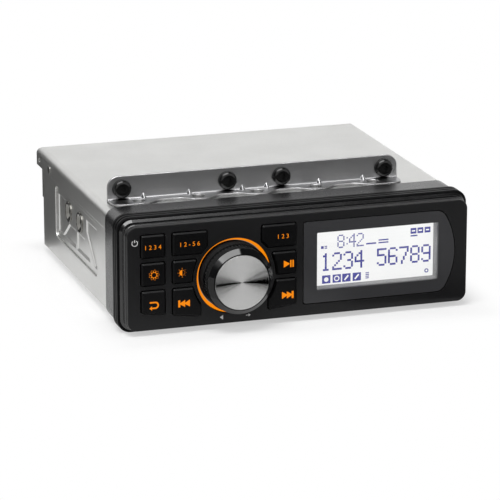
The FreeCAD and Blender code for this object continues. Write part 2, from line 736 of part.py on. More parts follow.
def leaning(leg):
    """Choose the straight edges that run down across a corner by one leg each way."""
    def chosen(edge):
        box = edge.BoundBox
        across = max(abs(box.YLength - leg.value), abs(box.ZLength - leg.value))
        return box.XLength < EDGE_TOLERANCE and across < EDGE_TOLERANCE

    return chosen


# Keys: name, block (left column or ring of keys round the knob), side of the knob, row.
KEYS = (
    ("source_key", "column", -1, "top"),
    ("settings_key", "column", -1, "middle"),
    ("return_key", "column", -1, "bottom"),
    ("preset_key", "ring", -1, "top"),
    ("brightness_key", "ring", -1, "middle"),
    ("previous_key", "ring", -1, "bottom"),
    ("band_key", "ring", 1, "top"),
    ("play_key", "ring", 1, "middle"),
    ("next_key", "ring", 1, "bottom"),
)


def slant_height(reach, inset):
    """Height of the bottom keys' slanting lower edge at a distance from the knob centre."""
    slant = root(1 + S.row_rise * S.row_rise)
    return S.row_base + S.row_rise * reach + inset * slant


def key_outline(block, side, row, inset):
    """Outline of a key opening, drawn in by an inset."""
    inset = as_size(inset)
    radius = key_arc + inset
    bend = ((knob_x, knob_z), radius, -side)
    high = {"top": row_top, "middle": row_mid, "bottom": row_low}[row] - inset
    far = (column_outer if block == "column" else S.key_outer) - inset

    def across(distance):
        return root(radius * radius - distance * distance)

    def corner(reach, height, *edge):
        return (knob_x + reach * side, height, *edge)

    if block == "column":
        near = column_inner + inset
        if row == "bottom":
            lower = [corner(near, slant_height(near, inset)), corner(far, slant_height(far, inset))]
        else:
            low = (row_top_base if row == "top" else row_mid_base) + inset
            lower = [corner(near, low), corner(far, low)]
        return [corner(far, high), corner(near, high)] + lower
    if row == "top":
        near = S.key_inner_top + inset
        low = row_top_base + inset
        return [
            corner(far, high),
            corner(near, high),
            corner(near, knob_z + across(near), bend),
            corner(across(low - knob_z), low),
            corner(far, low),
        ]
    if row == "middle":
        low = row_mid_base + inset
        return [
            corner(far, high),
            corner(across(high - knob_z), high, bend),
            corner(across(low - knob_z), low),
            corner(far, low),
        ]
    near = S.key_inner_low + inset
    return [
        corner(far, high),
        corner(across(high - knob_z), high, bend),
        corner(near, knob_z - across(near)),
        corner(near, slant_height(near, inset)),
        corner(far, slant_height(far, inset)),
    ]


def key_centre(block, side, row):
    """Place of a key's stem and switch."""
    if block == "column":
        reach = (column_inner + column_outer) / 2
    elif row == "top":
        reach = (S.key_inner_top + S.key_outer) / 2
    elif row == "middle":
        reach = (key_arc + S.key_outer) / 2
    else:
        reach = (S.key_inner_low + S.key_outer) / 2
    if row == "bottom":
        height = (row_low + slant_height(reach, 0)) / 2
    else:
        levels = {"top": (row_top, row_top_base), "middle": (row_mid, row_mid_base)}[row]
        height = (levels[0] + levels[1]) / 2
    return knob_x + reach * side, height


KEY_CENTRES = [key_centre(block, side, row) for _, block, side, row in KEYS]


def lens_outline(inset):
    """Display panel: straight on the left, bowed to the right."""
    inset = as_size(inset)
    left, low, high = lens_left + inset, S.lens_low + inset, lens_top - inset
    radius = S.lens_arc - inset
    middle = (S.lens_low + lens_top) / 2
    half = (high - low) / 2
    centre = (lens_right - S.lens_arc, middle)
    bow = centre[0] + root(radius * radius - half * half)
    return [(left, low), (bow, low, (centre, radius, 1)), (bow, high), (left, high)]


def window_outline(margin):
    """The display opening, widened by a margin."""
    margin = as_size(margin)
    return soft_rect(
        window_left - margin,
        window_low - margin,
        window_right + margin,
        window_top + margin,
        S.window_corner + margin,
    )


def bezel_outline(margin):
    """The bezel's outer shape, widened by a margin."""
    margin = as_size(margin)
    return soft_rect(
        -bezel_half - margin,
        bezel_low - margin,
        bezel_half + margin,
        bezel_high + margin,
        bezel_corner + margin,
    )


def bore_outline(margin):
    """The bezel's inside, drawn in by a margin."""
    margin = as_size(margin)
    corner = bezel_corner - S.bezel_wall_flat
    return soft_rect(-bore_half + margin, bore_low + margin, bore_half - margin, bore_high - margin, corner)


def face_outline(margin, corner):
    """The face plate's outer shape, widened by a margin."""
    margin = as_size(margin)
    return soft_rect(-face_half - margin, -margin, face_half + margin, S.face_height + margin, corner)


def d_outline(x, z, radius):
    """A round section with the shaft's flat."""
    flat = radius - S.shaft_flat
    half = root(radius * radius - flat * flat)
    return [(x + flat, z - half), (x + flat, z + half, ((x, z), radius, 1))]


def ease_lens_corners(host):
    """Round the display panel's corners, wide on its right side."""
    below, above = S.lens_low - S.lens_gap, lens_top + S.lens_gap
    right = inside(along("Y"), (lens_left + lens_right) / 2, lens_right, below, above)
    ease(host, "Fillet", S.lens_corner, right)
    left = inside(along("Y"), lens_left - S.lens_gap, window_left - S.pane_lap, below, above)
    ease(host, "Fillet", S.lens_corner_left, left)


def make_face_plate():
    plate = new_body("face_plate")
    add(plate, FRONT, 0, face_back, face_outline(0, S.face_corner))
    ease(plate, "Fillet", S.face_edge, on_level("Y", 0))
    rim = face_outline(-S.seam_inset, S.face_corner - S.seam_inset)
    add(plate, FRONT, face_back, bezel_front, rim, bore_outline(0))
    openings = [key_outline(block, side, row, 0) for _, block, side, row in KEYS]
    cut(plate, FRONT, 0, face_back, *openings)
    keys_left = knob_x - column_outer - S.key_gap
    keys_right = knob_x + S.key_outer + S.key_gap
    key_corners = inside(along("Y"), keys_left, keys_right, S.row_base, row_top + S.key_gap)
    ease(plate, "Fillet", S.key_corner, key_corners)
    cut(plate, FRONT, 0, face_back, disc(knob_x, knob_z, knob_hole))
    cut(plate, FRONT, 0, S.lens_thick, lens_outline(0))
    ease_lens_corners(plate)
    cut(plate, FRONT, S.lens_thick, face_back, window_outline(S.pane_lap))


def make_key(label, block, side, row, centre):
    """A key cap with its lip behind the face plate and its stem."""
    key = new_body(label)
    add(key, FRONT, -S.key_proud, key_back, key_outline(block, side, row, S.key_gap))
    ease(key, "Fillet", S.key_corner - S.key_gap, along("Y"))
    ease(key, "Chamfer", S.key_edge, on_level("Y", -S.key_proud))
    add(key, FRONT, face_back + S.key_lip_gap, key_back, key_outline(block, side, row, -S.key_lip))
    add(key, FRONT, key_back, stem_end, disc(*centre, S.stem_radius))


def make_display():
    panel = new_body("display_panel")
    add(panel, FRONT, 0, S.lens_thick, lens_outline(S.lens_gap))
    ease_lens_corners(panel)
    cut(panel, FRONT, 0, S.lens_thick, window_outline(0))
    pane = new_body("display_window")
    add(pane, FRONT, S.lens_thick, pane_back, window_outline(S.pane_lap - S.slip_fit))
    frame = new_body("display_frame")
    add(frame, FRONT, pane_back, face_back, window_outline(S.frame_nose), window_outline(0))
    add(frame, FRONT, face_back, S.lcd_front, window_outline(S.frame_wall), window_outline(0))
    glass = new_body("lcd_panel")
    lcd_back = S.lcd_front + S.lcd_thick
    add(glass, FRONT, S.lcd_front, lcd_back, window_outline(S.lcd_lap))
    light = new_body("backlight")
    add(light, FRONT, lcd_back, S.board_front, window_outline(S.frame_wall))


def beyond_bezel(edge):
    """Choose the edges that reach beyond the bezel's sides."""
    box = edge.BoundBox
    sideways = max(box.XMax, -box.XMin) - bezel_half.value
    upward = max(box.ZMax - bezel_high.value, bezel_low.value - box.ZMin)
    return max(sideways, upward) > EDGE_TOLERANCE


def make_bezel():
    bezel = new_body("front_bezel")
    add(bezel, FRONT, bezel_front, case_front, bezel_outline(0), bore_outline(0))
    ease(bezel, "Fillet", S.bezel_edge, on_level("Y", bezel_front))
    shoulder = gasket_front - S.shoulder_long
    add(bezel, FRONT, shoulder, gasket_front, bezel_outline(S.shoulder_over), bore_outline(0))
    brink = on_level("Y", shoulder)
    ease(bezel, "Chamfer", S.shoulder_bevel, lambda edge: brink(edge) and beyond_bezel(edge))
    ledge_front = S.board_front - S.ledge_thick
    add(bezel, FRONT, ledge_front, S.board_front, bore_outline(0), bore_outline(S.ledge_width))
    holes = [disc(x, z, S.board_shank) for x, z in board_screw_places()]
    cut(bezel, FRONT, ledge_front, S.board_front, *holes)
    seat = case_front + S.sheet - S.small_length
    holes = [disc(x, z, S.small_shank + S.slip_fit) for x, z in bezel_screw_places()]
    cut(bezel, FRONT, seat, case_front, *holes)


def make_gasket():
    gasket = new_body("seal_gasket")
    inner = bezel_outline(S.slip_fit)
    add(gasket, FRONT, gasket_front, gasket_back, face_outline(S.gasket_over, S.gasket_corner), inner)
    third = S.gasket_depth / 3
    floor = face_outline(S.gasket_over - S.groove_deep, S.gasket_corner - S.groove_deep)
    beyond = face_outline(S.gasket_over + S.groove_deep, S.gasket_corner)
    for middle in (gasket_front + third, gasket_back - third):
        cut(gasket, FRONT, middle - S.groove_wide / 2, middle + S.groove_wide / 2, beyond, floor)
    ease(gasket, "Fillet", S.gasket_edge, on_level("Y", gasket_front))
    ease(gasket, "Fillet", S.gasket_edge, on_level("Y", gasket_back))


def make_collar():
    collar = new_body("front_collar")
    outer = face_outline(S.collar_over, S.collar_corner)
    add(collar, FRONT, gasket_back, case_front, outer, bezel_outline(S.slip_fit))


def board_screw_places():
    low, high = S.board_low + S.board_screw_in, board_high - S.board_screw_in
    side = board_half - S.board_screw_side
    return [(x, z) for x in (-side, side) for z in (low, high)]


def bezel_screw_places():
    heights = (S.bezel_screw_low, S.face_height - S.bezel_screw_down)
    side = bezel_half - S.bezel_screw_in
    return [(x, z) for x in (-side, side) for z in heights]


def side_fields():
    """Pressed fields of the side panel, between its slanting and upright bands."""
    rear = panel_end - S.field_margin
    front = panel_front + S.field_margin
    low = panel_low + S.field_low
    top = panel_top - S.field_top
    clear = S.nut_flange + S.nut_clear
    under_nut = nut_height - clear
    rear_nut = nut_front + S.nut_pitch
    brace = (under_nut - low) / S.brace_run
    rear_field = [
        (rear, top),
        (rear_nut + clear, top),
        (rear_nut + clear, under_nut - (clear - S.strut_wide) * brace),
        (rear_nut + S.brace_run + S.strut_wide, low),
        (rear, low),
    ]
    second_field = [
        (rear_nut, under_nut),
        (rear_nut + S.brace_run, low),
        (nut_front + clear + S.strut_wide, low),
        (nut_front + clear + S.strut_wide, under_nut),
    ]
    foot = panel_front + S.brace_foot
    run = (under_nut - low) / S.brace_slope
    third_field = [
        (nut_front + clear, under_nut),
        (nut_front + clear, low),
        (foot + S.brace_wide, low),
        (foot + S.brace_wide + run, under_nut),
    ]
    edge = nut_front - clear - S.nut_band
    front_field = [
        (edge, top),
        (front, top),
        (front, low),
        (foot, low),
        (edge, low + (edge - foot) * S.brace_slope),
    ]
    return [rear_field, second_field, third_field, front_field]


def nut_places():
    return [(nut_front, nut_height), (nut_front + S.nut_pitch, nut_height)]


def make_tub():
    tub = new_body("chassis_tub")
    section = [
        (-tub_half, S.tub_floor),
        (tub_half, S.tub_floor),
        (tub_half, tub_top),
        (tub_in, tub_top),
        (tub_in, tub_deck),
        (-tub_in, tub_deck),
        (-tub_in, tub_top),
        (-tub_half, tub_top),
    ]
    add(tub, FRONT, case_front, tub_back, section)
    step = S.tub_floor + S.tub_step_height
    left_tab = rect(-tub_half, step, -tub_in, tub_top)
    right_tab = rect(tub_in, step, tub_half, tub_top)
    add(tub, FRONT, tub_back, tub_back + S.tub_step_back, left_tab, right_tab)
    rim = S.tub_front_rim
    wall = rect(-tub_in, tub_deck, tub_in, tub_top)
    opening = rect(-tub_in + rim, tub_deck + rim, tub_in - rim, tub_top - rim)
    add(tub, FRONT, case_front, case_front + S.sheet, wall, opening)
    holes = [disc(x, z, S.small_shank + S.slip_fit) for x, z in bezel_screw_places()]
    cut(tub, FRONT, case_front, case_front + S.sheet, *holes)
    panel = soft_rect(panel_front, panel_low, panel_end, panel_top, S.panel_corner)
    deep = S.press_deep + S.field_deep
    nuts = [disc(y, z, S.nut_barrel) for y, z in nut_places()]
    screw = disc(lip_screw_y, lip_screw_z, S.small_shank + S.slip_fit)
    for side in (-1, 1):
        inner, outer = tub_in * side, tub_half * side
        shelf = outer - S.press_deep * side
        add(tub, SIDE, inner, inner - deep * side, panel)
        cut(tub, SIDE, outer, shelf, panel)
        cut(tub, SIDE, shelf, shelf - S.field_deep * side, *side_fields(), slope=S.field_slope)
        cut(tub, SIDE, shelf, inner - deep * side, *nuts)
        cut(tub, SIDE, outer, inner, screw)
    holes = [disc(x, y, S.small_shank + S.slip_fit) for x, y in rear_screw_places()]
    cut(tub, FLOOR, S.tub_floor, tub_deck, *holes)


def make_side_nuts():
    nuts = new_body("side_nuts")
    flanges = [disc(y, z, S.nut_flange) for y, z in nut_places()]
    barrels = [disc(y, z, S.nut_barrel) for y, z in nut_places()]
    bores = [disc(y, z, S.nut_bore) for y, z in nut_places()]
    for side in (-1, 1):
        shelf = (tub_half - S.press_deep) * side
        add(nuts, SIDE, shelf + S.nut_flange_thick * side, shelf, *flanges, *bores)
        add(nuts, SIDE, shelf, shelf - S.nut_length * side, *barrels, *bores)
        outer = shelf + S.nut_flange_thick * side
        rim = on_level("X", outer)
        ease(nuts, "Fillet", S.nut_flange_thick / 2, rim)
        dishes = [disc(y, z, S.nut_dish) for y, z in nut_places()]
        cut(nuts, SIDE, outer, outer - S.nut_dish_deep * side, *dishes, slope=S.nut_dish_slope)


def make_cover():
    cover = new_body("top_cover")
    block = rect(-cover_half, cover_lip_low, cover_half, cover_top)
    add(cover, FRONT, case_front, cover_back, block)
    top_edges = on_level("Z", cover_top)
    front_edge = on_level("Y", case_front)
    ease(cover, "Fillet", S.cover_bend, lambda edge: top_edges(edge) and not front_edge(edge))
    open_low, open_front = on_level("Z", cover_lip_low), on_level("Y", case_front)
    hollow(cover, S.sheet, lambda face: open_low(face) or open_front(face))
    screw = disc(lip_screw_y, lip_screw_z, S.small_shank + S.slip_fit)
    dimple = disc(cover_back - S.dimple_in, lip_screw_z, S.dimple_radius)
    for side in (-1, 1):
        outer = cover_half * side
        cut(cover, SIDE, outer, tub_half * side, screw)
        cut(cover, SIDE, outer, outer - S.dimple_deep * side, dimple)


def make_cover_screws():
    screws = new_body("cover_screws")
    for side in (-1, 1):
        outer = cover_half * side
        head = outer + S.small_head_thick * side
        add(screws, SIDE, outer, head, disc(lip_screw_y, lip_screw_z, S.small_head))
        ease(screws, "Fillet", S.small_head_thick / 2, on_level("X", head))
        end = outer - S.small_length * side
        add(screws, SIDE, end, outer, disc(lip_screw_y, lip_screw_z, S.small_shank))


def bracket_hole_places():
    return [bracket_x + foot_hole_pitch * index for index in (-2, -1, 0, 1, 2)]


def gusset_places():
    far = bracket_screw_far - S.gusset_screw
    middle = foot_hole_pitch + S.gusset_hole
    return [bracket_x + span for span in (-far, -middle, -S.gusset_near, S.gusset_near, middle, far)]


def make_bracket():
    bracket = new_body("mounting_bracket")
    wall_top = foot_top + S.bracket_height
    foot_front = bracket_wall - S.bracket_foot
    section = [
        (foot_front, cover_top),
        (bracket_back, cover_top),
        (bracket_back, wall_top),
        (bracket_wall, wall_top),
        (bracket_wall, foot_top),
        (foot_front, foot_top),
    ]
    add(bracket, SIDE, bracket_left, bracket_right, section)
    bend = on_level("Z", foot_top)
    wall_face = on_level("Y", bracket_wall)
    ease(bracket, "Fillet", S.bracket_bend, lambda edge: bend(edge) and wall_face(edge))
    high = on_level("Z", wall_top)
    through = along("Y")
    ease(bracket, "Fillet", S.bracket_corner, lambda edge: high(edge) and through(edge))
    near = bracket_wall - S.gusset_leg
    triangle = [
        (near, foot_top),
        (bracket_wall, foot_top),
        (bracket_wall, foot_top + S.gusset_leg),
    ]
    for x in gusset_places():
        add(bracket, SIDE, x - S.gusset_wide / 2, x + S.gusset_wide / 2, triangle)
    ease(bracket, "Chamfer", (S.gusset_wide - S.gusset_ridge) / 2, leaning(S.gusset_leg))
    recess_back = foot_front + S.recess_deep
    recesses = []
    for first, second in zip(bracket_hole_places(), bracket_hole_places()[1:]):
        recess = [
            (first + S.lobe_tip, foot_front),
            (second - S.lobe_tip, foot_front),
            (second - S.lobe_root, recess_back),
            (first + S.lobe_root, recess_back),
        ]
        recesses.append(recess)
    cut(bracket, FLOOR, cover_top, foot_top, *recesses)
    upright = along("Z")
    hole_y = bracket_wall - S.foot_hole_before
    ease(bracket, "Fillet", S.lobe_curve, lambda edge: upright(edge) and edge.BoundBox.Center.y < hole_y.value)
    holes = [disc(x, hole_y, S.foot_hole) for x in bracket_hole_places()]
    cut(bracket, FLOOR, cover_top, foot_top, *holes)
    bolts = [disc(x, bracket_screw_z, S.bolt_shank + S.slip_fit) for x in bracket_screws]
    cut(bracket, FRONT, bracket_wall, bracket_back, *bolts)


def make_bracket_screws():
    screws = new_body("bracket_screws")
    head_front = bracket_wall - S.bolt_head_thick
    heads = [disc(x, bracket_screw_z, S.bolt_head) for x in bracket_screws]
    add(screws, FRONT, head_front, bracket_wall, *heads)
    ease(screws, "Fillet", S.bolt_dome, on_level("Y", head_front))
    shanks = [disc(x, bracket_screw_z, S.bolt_shank) for x in bracket_screws]
    add(screws, FRONT, bracket_wall, bracket_wall + S.bolt_length, *shanks)
    sockets = [hexagon(x, bracket_screw_z, S.bolt_hex) for x in bracket_screws]
    cut(screws, FRONT, head_front, head_front + S.bolt_hex_deep, *sockets)
    nuts = new_body("bracket_nuts")
    outlines = [hexagon(x, bracket_screw_z, S.bolt_nut) for x in bracket_screws]
    bores = [disc(x, bracket_screw_z, S.bolt_shank) for x in bracket_screws]
    add(nuts, FRONT, bracket_back, bracket_back + S.bolt_nut_thick, *outlines, *bores)


def make_knob():
    cap_back = -S.knob_front + S.cap_thick
    rim_front = -S.knob_front + S.cap_step
    inner_front = cap_back + S.knob_wall
    hub_back = flange_back - S.hub_short
    nought = as_size(0)
    profile = [
        (nought, cap_back),
        (cap_radius, cap_back),
        (cap_radius, rim_front),
        (cap_radius + S.cap_rim, rim_front),
        (S.skirt_radius, skirt_front),
        (S.skirt_radius, flange_front),
        (flange_radius, flange_front),
        (flange_radius, flange_back),
        (flange_radius - S.knob_wall, flange_back),
        (S.skirt_radius - S.knob_wall, flange_front),
        (S.skirt_radius - S.knob_wall, inner_front),
        (S.hub_radius, inner_front),
        (S.hub_radius, hub_back),
        (nought, hub_back),
    ]
    skirt = new_body("knob_skirt")
    spin(skirt, profile, knob_x, knob_z)
    socket = d_outline(knob_x, knob_z, S.shaft_radius + S.shaft_fit)
    cut(skirt, FRONT, inner_front, hub_back, socket)
    ribs = new_sketch(skirt, FRONT, skirt_front)
    bind(ribs, "AttachmentOffset.Base.x", knob_x)
    bind(ribs, "AttachmentOffset.Base.y", knob_z)
    groove_low, groove_high = S.skirt_radius - S.rib_deep, S.skirt_radius + S.rib_deep
    draw_outline(ribs, rect(-S.rib_gap / 2, groove_low, S.rib_gap / 2, groove_high))
    groove = skirt.newObject("PartDesign::Pocket", "knob_skirt_groove")
    groove.Profile = ribs
    bind(groove, "Length", S.skirt_length)
    doc.recompute()
    whole = skirt.Shape.Volume
    pattern = skirt.newObject("PartDesign::PolarPattern", "knob_skirt_ribs")
    pattern.Originals = [groove]
    pattern.Axis = (ribs, ["N_Axis"])
    pattern.Angle = FULL_TURN
    bind(pattern, "Occurrences", S.rib_count)
    skirt.Tip = pattern
    doc.recompute()
    if not skirt.Shape.Volume < whole:
        raise ValueError("the ribs remove nothing")
    cap = new_body("knob_cap")
    add(cap, FRONT, -S.knob_front, cap_back, disc(knob_x, knob_z, cap_radius))
    ease(cap, "Fillet", S.cap_edge, on_level("Y", -S.knob_front))
    shaft = new_body("encoder_shaft")
    shaft_back = rotor_front + S.rotor_thick + S.knob_travel
    add(shaft, FRONT, inner_front, shaft_back, disc(knob_x, knob_z, S.shaft_radius))
    flat = S.shaft_radius - S.shaft_flat
    reach = S.shaft_radius + S.shaft_flat
    side = rect(knob_x + flat, knob_z - reach, knob_x + reach, knob_z + reach)
    cut(shaft, FRONT, inner_front, hub_back, side)
    cut(shaft, FRONT, rotor_front - S.knob_travel - S.rotor_gap, shaft_back, side)


def make_encoder():
    case = new_body("encoder_body")
    add(case, FRONT, encoder_front, S.board_front, square(knob_x, knob_z, S.encoder_half))
    add(case, FRONT, -S.bush_front, encoder_front, disc(knob_x, knob_z, S.bush_radius))
    cavity_back = S.board_front - S.encoder_wall
    cavity_front = encoder_front + S.encoder_wall
    cut(case, FRONT, -S.bush_front, cavity_front, disc(knob_x, knob_z, S.shaft_radius + S.shaft_run))
    cut(case, FRONT, cavity_front, cavity_back, disc(knob_x, knob_z, S.rotor_radius + S.rotor_gap))
    rotor = new_body("encoder_rotor")
    bore = d_outline(knob_x, knob_z, S.shaft_radius + S.shaft_run)
    rim = disc(knob_x, knob_z, S.rotor_radius)
    add(rotor, FRONT, rotor_front, rotor_front + S.rotor_thick, rim, bore)


def make_light_ring():
    ring = new_body("light_ring")
    outer = disc(knob_x, knob_z, knob_hole + S.ring_lap)
    inner = disc(knob_x, knob_z, flange_radius + S.ring_clear)
    add(ring, FRONT, face_back, guide_front, outer, inner)


def make_front_board():
    guide = new_body("light_guide")
    left, right = S.guide_fit - bore_half, lens_left - S.guide_lens
    low, high = S.guide_edge, S.face_height - S.guide_edge
    plate = soft_rect(left, low, right, high, bezel_corner - S.bezel_wall_flat)
    add(guide, FRONT, guide_front, guide_back, plate, disc(knob_x, knob_z, S.guide_hole))
    stems = [disc(x, z, S.stem_radius + S.stem_clear) for x, z in KEY_CENTRES]
    cut(guide, FRONT, guide_front, guide_back, *stems)
    rows = ((row_top_base + row_mid) / 2, (row_mid_base + row_low) / 2)
    legs = [(x, z) for x in (left + S.guide_leg_left, right - S.guide_leg_right) for z in rows]
    add(guide, FRONT, guide_back, S.board_front, *[disc(x, z, S.guide_leg) for x, z in legs])
    board = new_body("front_board")
    add(board, FRONT, S.board_front, board_back, rect(-board_half, S.board_low, board_half, board_high))
    holes = [disc(x, z, S.board_shank) for x, z in board_screw_places()]
    cut(board, FRONT, S.board_front, board_back, *holes)
    screws = new_body("front_board_screws")
    heads = [disc(x, z, S.board_head) for x, z in board_screw_places()]
    add(screws, FRONT, board_back, board_back + S.board_head_thick, *heads)
    shanks = [disc(x, z, S.board_shank) for x, z in board_screw_places()]
    add(screws, FRONT, S.board_front - S.ledge_thick, board_back, *shanks)
    switches = new_body("key_switches")
    bodies = [square(x, z, S.switch_half) for x, z in KEY_CENTRES]
    add(switches, FRONT, S.board_front - S.switch_body, S.board_front, *bodies)
    buttons = [disc(x, z, S.switch_button) for x, z in KEY_CENTRES]
    add(switches, FRONT, switch_top, S.board_front - S.switch_body, *buttons)
    lights = new_body("key_lights")
    chips = [square(x + S.led_side, z, S.led_half) for x, z in KEY_CENTRES]
    add(lights, FRONT, S.board_front - S.led_thick, S.board_front, *chips)


def make_bezel_screws():
    screws = new_body("bezel_screws")
    seat = case_front + S.sheet
    heads = [disc(x, z, S.small_head) for x, z in bezel_screw_places()]
    add(screws, FRONT, seat, seat + S.small_head_thick, *heads)
    shanks = [disc(x, z, S.small_shank) for x, z in bezel_screw_places()]
    add(screws, FRONT, seat - S.small_length, seat, *shanks)


def standoff_places():
    xs = (-main_half + S.standoff_in, main_half - S.standoff_in)
    ys = (main_front + S.standoff_in, main_middle, main_back - S.standoff_in)
    return [(x, y) for x in xs for y in ys]


def rear_screw_places():
    y = rear_front - S.rear_flange / 2
    return [(-tub_in + S.rear_screw_in, y), (as_size(0), y), (tub_in - S.rear_screw_in, y)]


def make_main_board():
    board = new_body("main_board")
    outline = rect(-main_half, main_front, main_half, main_back)
    add(board, FLOOR, S.main_level, main_top, outline)
    holes = [disc(x, y, S.small_shank + S.slip_fit) for x, y in standoff_places()]
    cut(board, FLOOR, S.main_level, main_top, *holes)
    posts = new_body("board_standoffs")
    outer = [disc(x, y, S.standoff_radius) for x, y in standoff_places()]
    add(posts, FLOOR, tub_deck, S.main_level, *outer, *holes)
    screws = new_body("board_screws")
    heads = [disc(x, y, S.small_head) for x, y in standoff_places()]
    add(screws, FLOOR, main_top, main_top + S.small_head_thick, *heads)
    shanks = [disc(x, y, S.small_shank) for x, y in standoff_places()]
    add(screws, FLOOR, main_top - S.small_length, main_top, *shanks)


def make_components():
    tuner = new_body("tuner_module")
    left = S.tuner_in - main_half
    can = rect(left, tuner_front, left + S.tuner_wide, tuner_front + S.tuner_long)
    add(tuner, FLOOR, main_top, main_top + S.tuner_high, can)
    sink = new_body("heat_sink")
    sink_x = main_half - S.sink_in - S.sink_wide
    sink_front = main_middle + S.small_head + S.sink_before
    sink_top = main_top + S.sink_high
    base = rect(sink_x, sink_front, sink_x + S.sink_base, sink_front + S.sink_long)
    add(sink, FLOOR, main_top, sink_top, base)
    count = int((S.sink_long.value - S.sink_fin.value) // S.sink_pitch.value) + 1
    fins = []
    for index in range(count):
        start = sink_front + S.sink_pitch * index
        fins.append(rect(sink_x + S.sink_base, start, sink_x + S.sink_wide, start + S.sink_fin))
    add(sink, FLOOR, main_top, sink_top, *fins)
    chip = new_body("amplifier_chip")
    middle = sink_front + S.sink_long / 2
    slab = rect(sink_x - S.chip_thick, middle - S.chip_wide / 2, sink_x, middle + S.chip_wide / 2)
    add(chip, FLOOR, main_top, main_top + S.chip_high, slab)
    capacitors = new_body("capacitors")
    cans = []
    for index in range(int(S.cap_count.value)):
        y = main_front + S.cap_big_in + S.cap_pitch * index
        cans.append(disc(S.cap_big_x, y, S.cap_big_radius))
    add(capacitors, FLOOR, main_top, main_top + S.cap_big_high, *cans)
    choke = new_body("power_choke")
    x, y = S.choke_in - main_half, tuner_front - S.choke_before
    outer, inner = disc(x, y, S.choke_radius), disc(x, y, S.choke_hole)
    add(choke, FLOOR, main_top, main_top + S.choke_high, outer, inner)
    rims = on_level("Z", main_top + S.choke_high)
    ease(choke, "Fillet", S.choke_edge, rims)


def make_ribbon():
    front_plug = new_body("front_plug")
    half = S.plug_wide / 2
    plug = rect(-half, S.plug_z - S.plug_high / 2, half, S.plug_z + S.plug_high / 2)
    plug_back = board_back + S.plug_thick
    add(front_plug, FRONT, board_back, plug_back, plug)
    rear_plug = new_body("main_plug")
    plug_top = main_top + S.plug_high
    plug_y = main_front + S.plug_in
    add(rear_plug, FLOOR, main_top, plug_top, rect(-half, plug_y, half, plug_y + S.plug_thick))
    ribbon = new_body("ribbon_cable")
    middle = plug_y + S.plug_thick / 2
    thick = S.ribbon_thick / 2
    path = [
        (plug_back, S.plug_z - thick),
        (middle - thick, S.plug_z - thick),
        (middle - thick, plug_top),
        (middle + thick, plug_top),
        (middle + thick, S.plug_z + thick),
        (plug_back, S.plug_z + thick),
    ]
    add(ribbon, SIDE, -S.ribbon_wide / 2, S.ribbon_wide / 2, path)
    outer_level, outer_end = on_level("Z", S.plug_z + thick), on_level("Y", middle + thick)
    inner_level, inner_end = on_level("Z", S.plug_z - thick), on_level("Y", middle - thick)
    bend = S.ribbon_bend + S.ribbon_thick
    ease(ribbon, "Fillet", bend, lambda edge: outer_level(edge) and outer_end(edge))
    ease(ribbon, "Fillet", S.ribbon_bend, lambda edge: inner_level(edge) and inner_end(edge))


def harness_outline(margin):
    margin = as_size(margin)
    left = harness_x - S.harness_half
    right = harness_x + S.harness_half
    return rect(left - margin, main_top - margin, right + margin, main_top + S.harness_high + margin)


def jack_places():
    places = []
    for index in range(int(S.jack_count.value)):
        x = S.jack_x + S.jack_pitch * index
        places.append((x, S.jack_low))
        places.append((x, S.jack_low + S.jack_rise))
    return places


def fuse_outline(margin):
    margin = as_size(margin)
    half = S.fuse_thick / 2
    left, right = fuse_x - S.fuse_half, fuse_x + S.fuse_half
    return rect(left - margin, S.fuse_z - half - margin, right + margin, S.fuse_z + half + margin)


def holder_outline(margin):
    margin = as_size(margin)
    reach = S.fuse_half + S.fuse_wall + margin
    top = S.fuse_z + S.fuse_thick / 2 + S.fuse_wall + margin
    return rect(fuse_x - reach, main_top - margin, fuse_x + reach, top)


def make_rear_panel():
    panel = new_body("rear_panel")
    add(panel, FRONT, rear_front, tub_back, rect(-tub_in, tub_deck, tub_in, tub_top))
    foot_top_level = tub_deck + S.sheet
    foot = rect(-tub_in, tub_deck, tub_in, foot_top_level)
    add(panel, FRONT, rear_front - S.rear_flange, rear_front, foot)
    cut(panel, FRONT, rear_front, tub_back, harness_outline(S.cut_gap))
    cut(panel, FRONT, rear_front, tub_back, disc(S.antenna_x, S.antenna_z, S.antenna_radius + S.cut_gap))
    jacks = [disc(x, z, S.jack_ring + S.cut_gap) for x, z in jack_places()]
    cut(panel, FRONT, rear_front, tub_back, *jacks)
    cut(panel, FRONT, rear_front, tub_back, holder_outline(S.cut_gap))
    holes = [disc(x, y, S.small_shank + S.slip_fit) for x, y in rear_screw_places()]
    cut(panel, FLOOR, tub_deck, foot_top_level, *holes)
    screws = new_body("rear_screws")
    heads = [disc(x, y, S.small_head) for x, y in rear_screw_places()]
    add(screws, FLOOR, S.tub_floor - S.small_head_thick, S.tub_floor, *heads)
    shanks = [disc(x, y, S.small_shank) for x, y in rear_screw_places()]
    add(screws, FLOOR, S.tub_floor, S.tub_floor + S.small_length, *shanks)


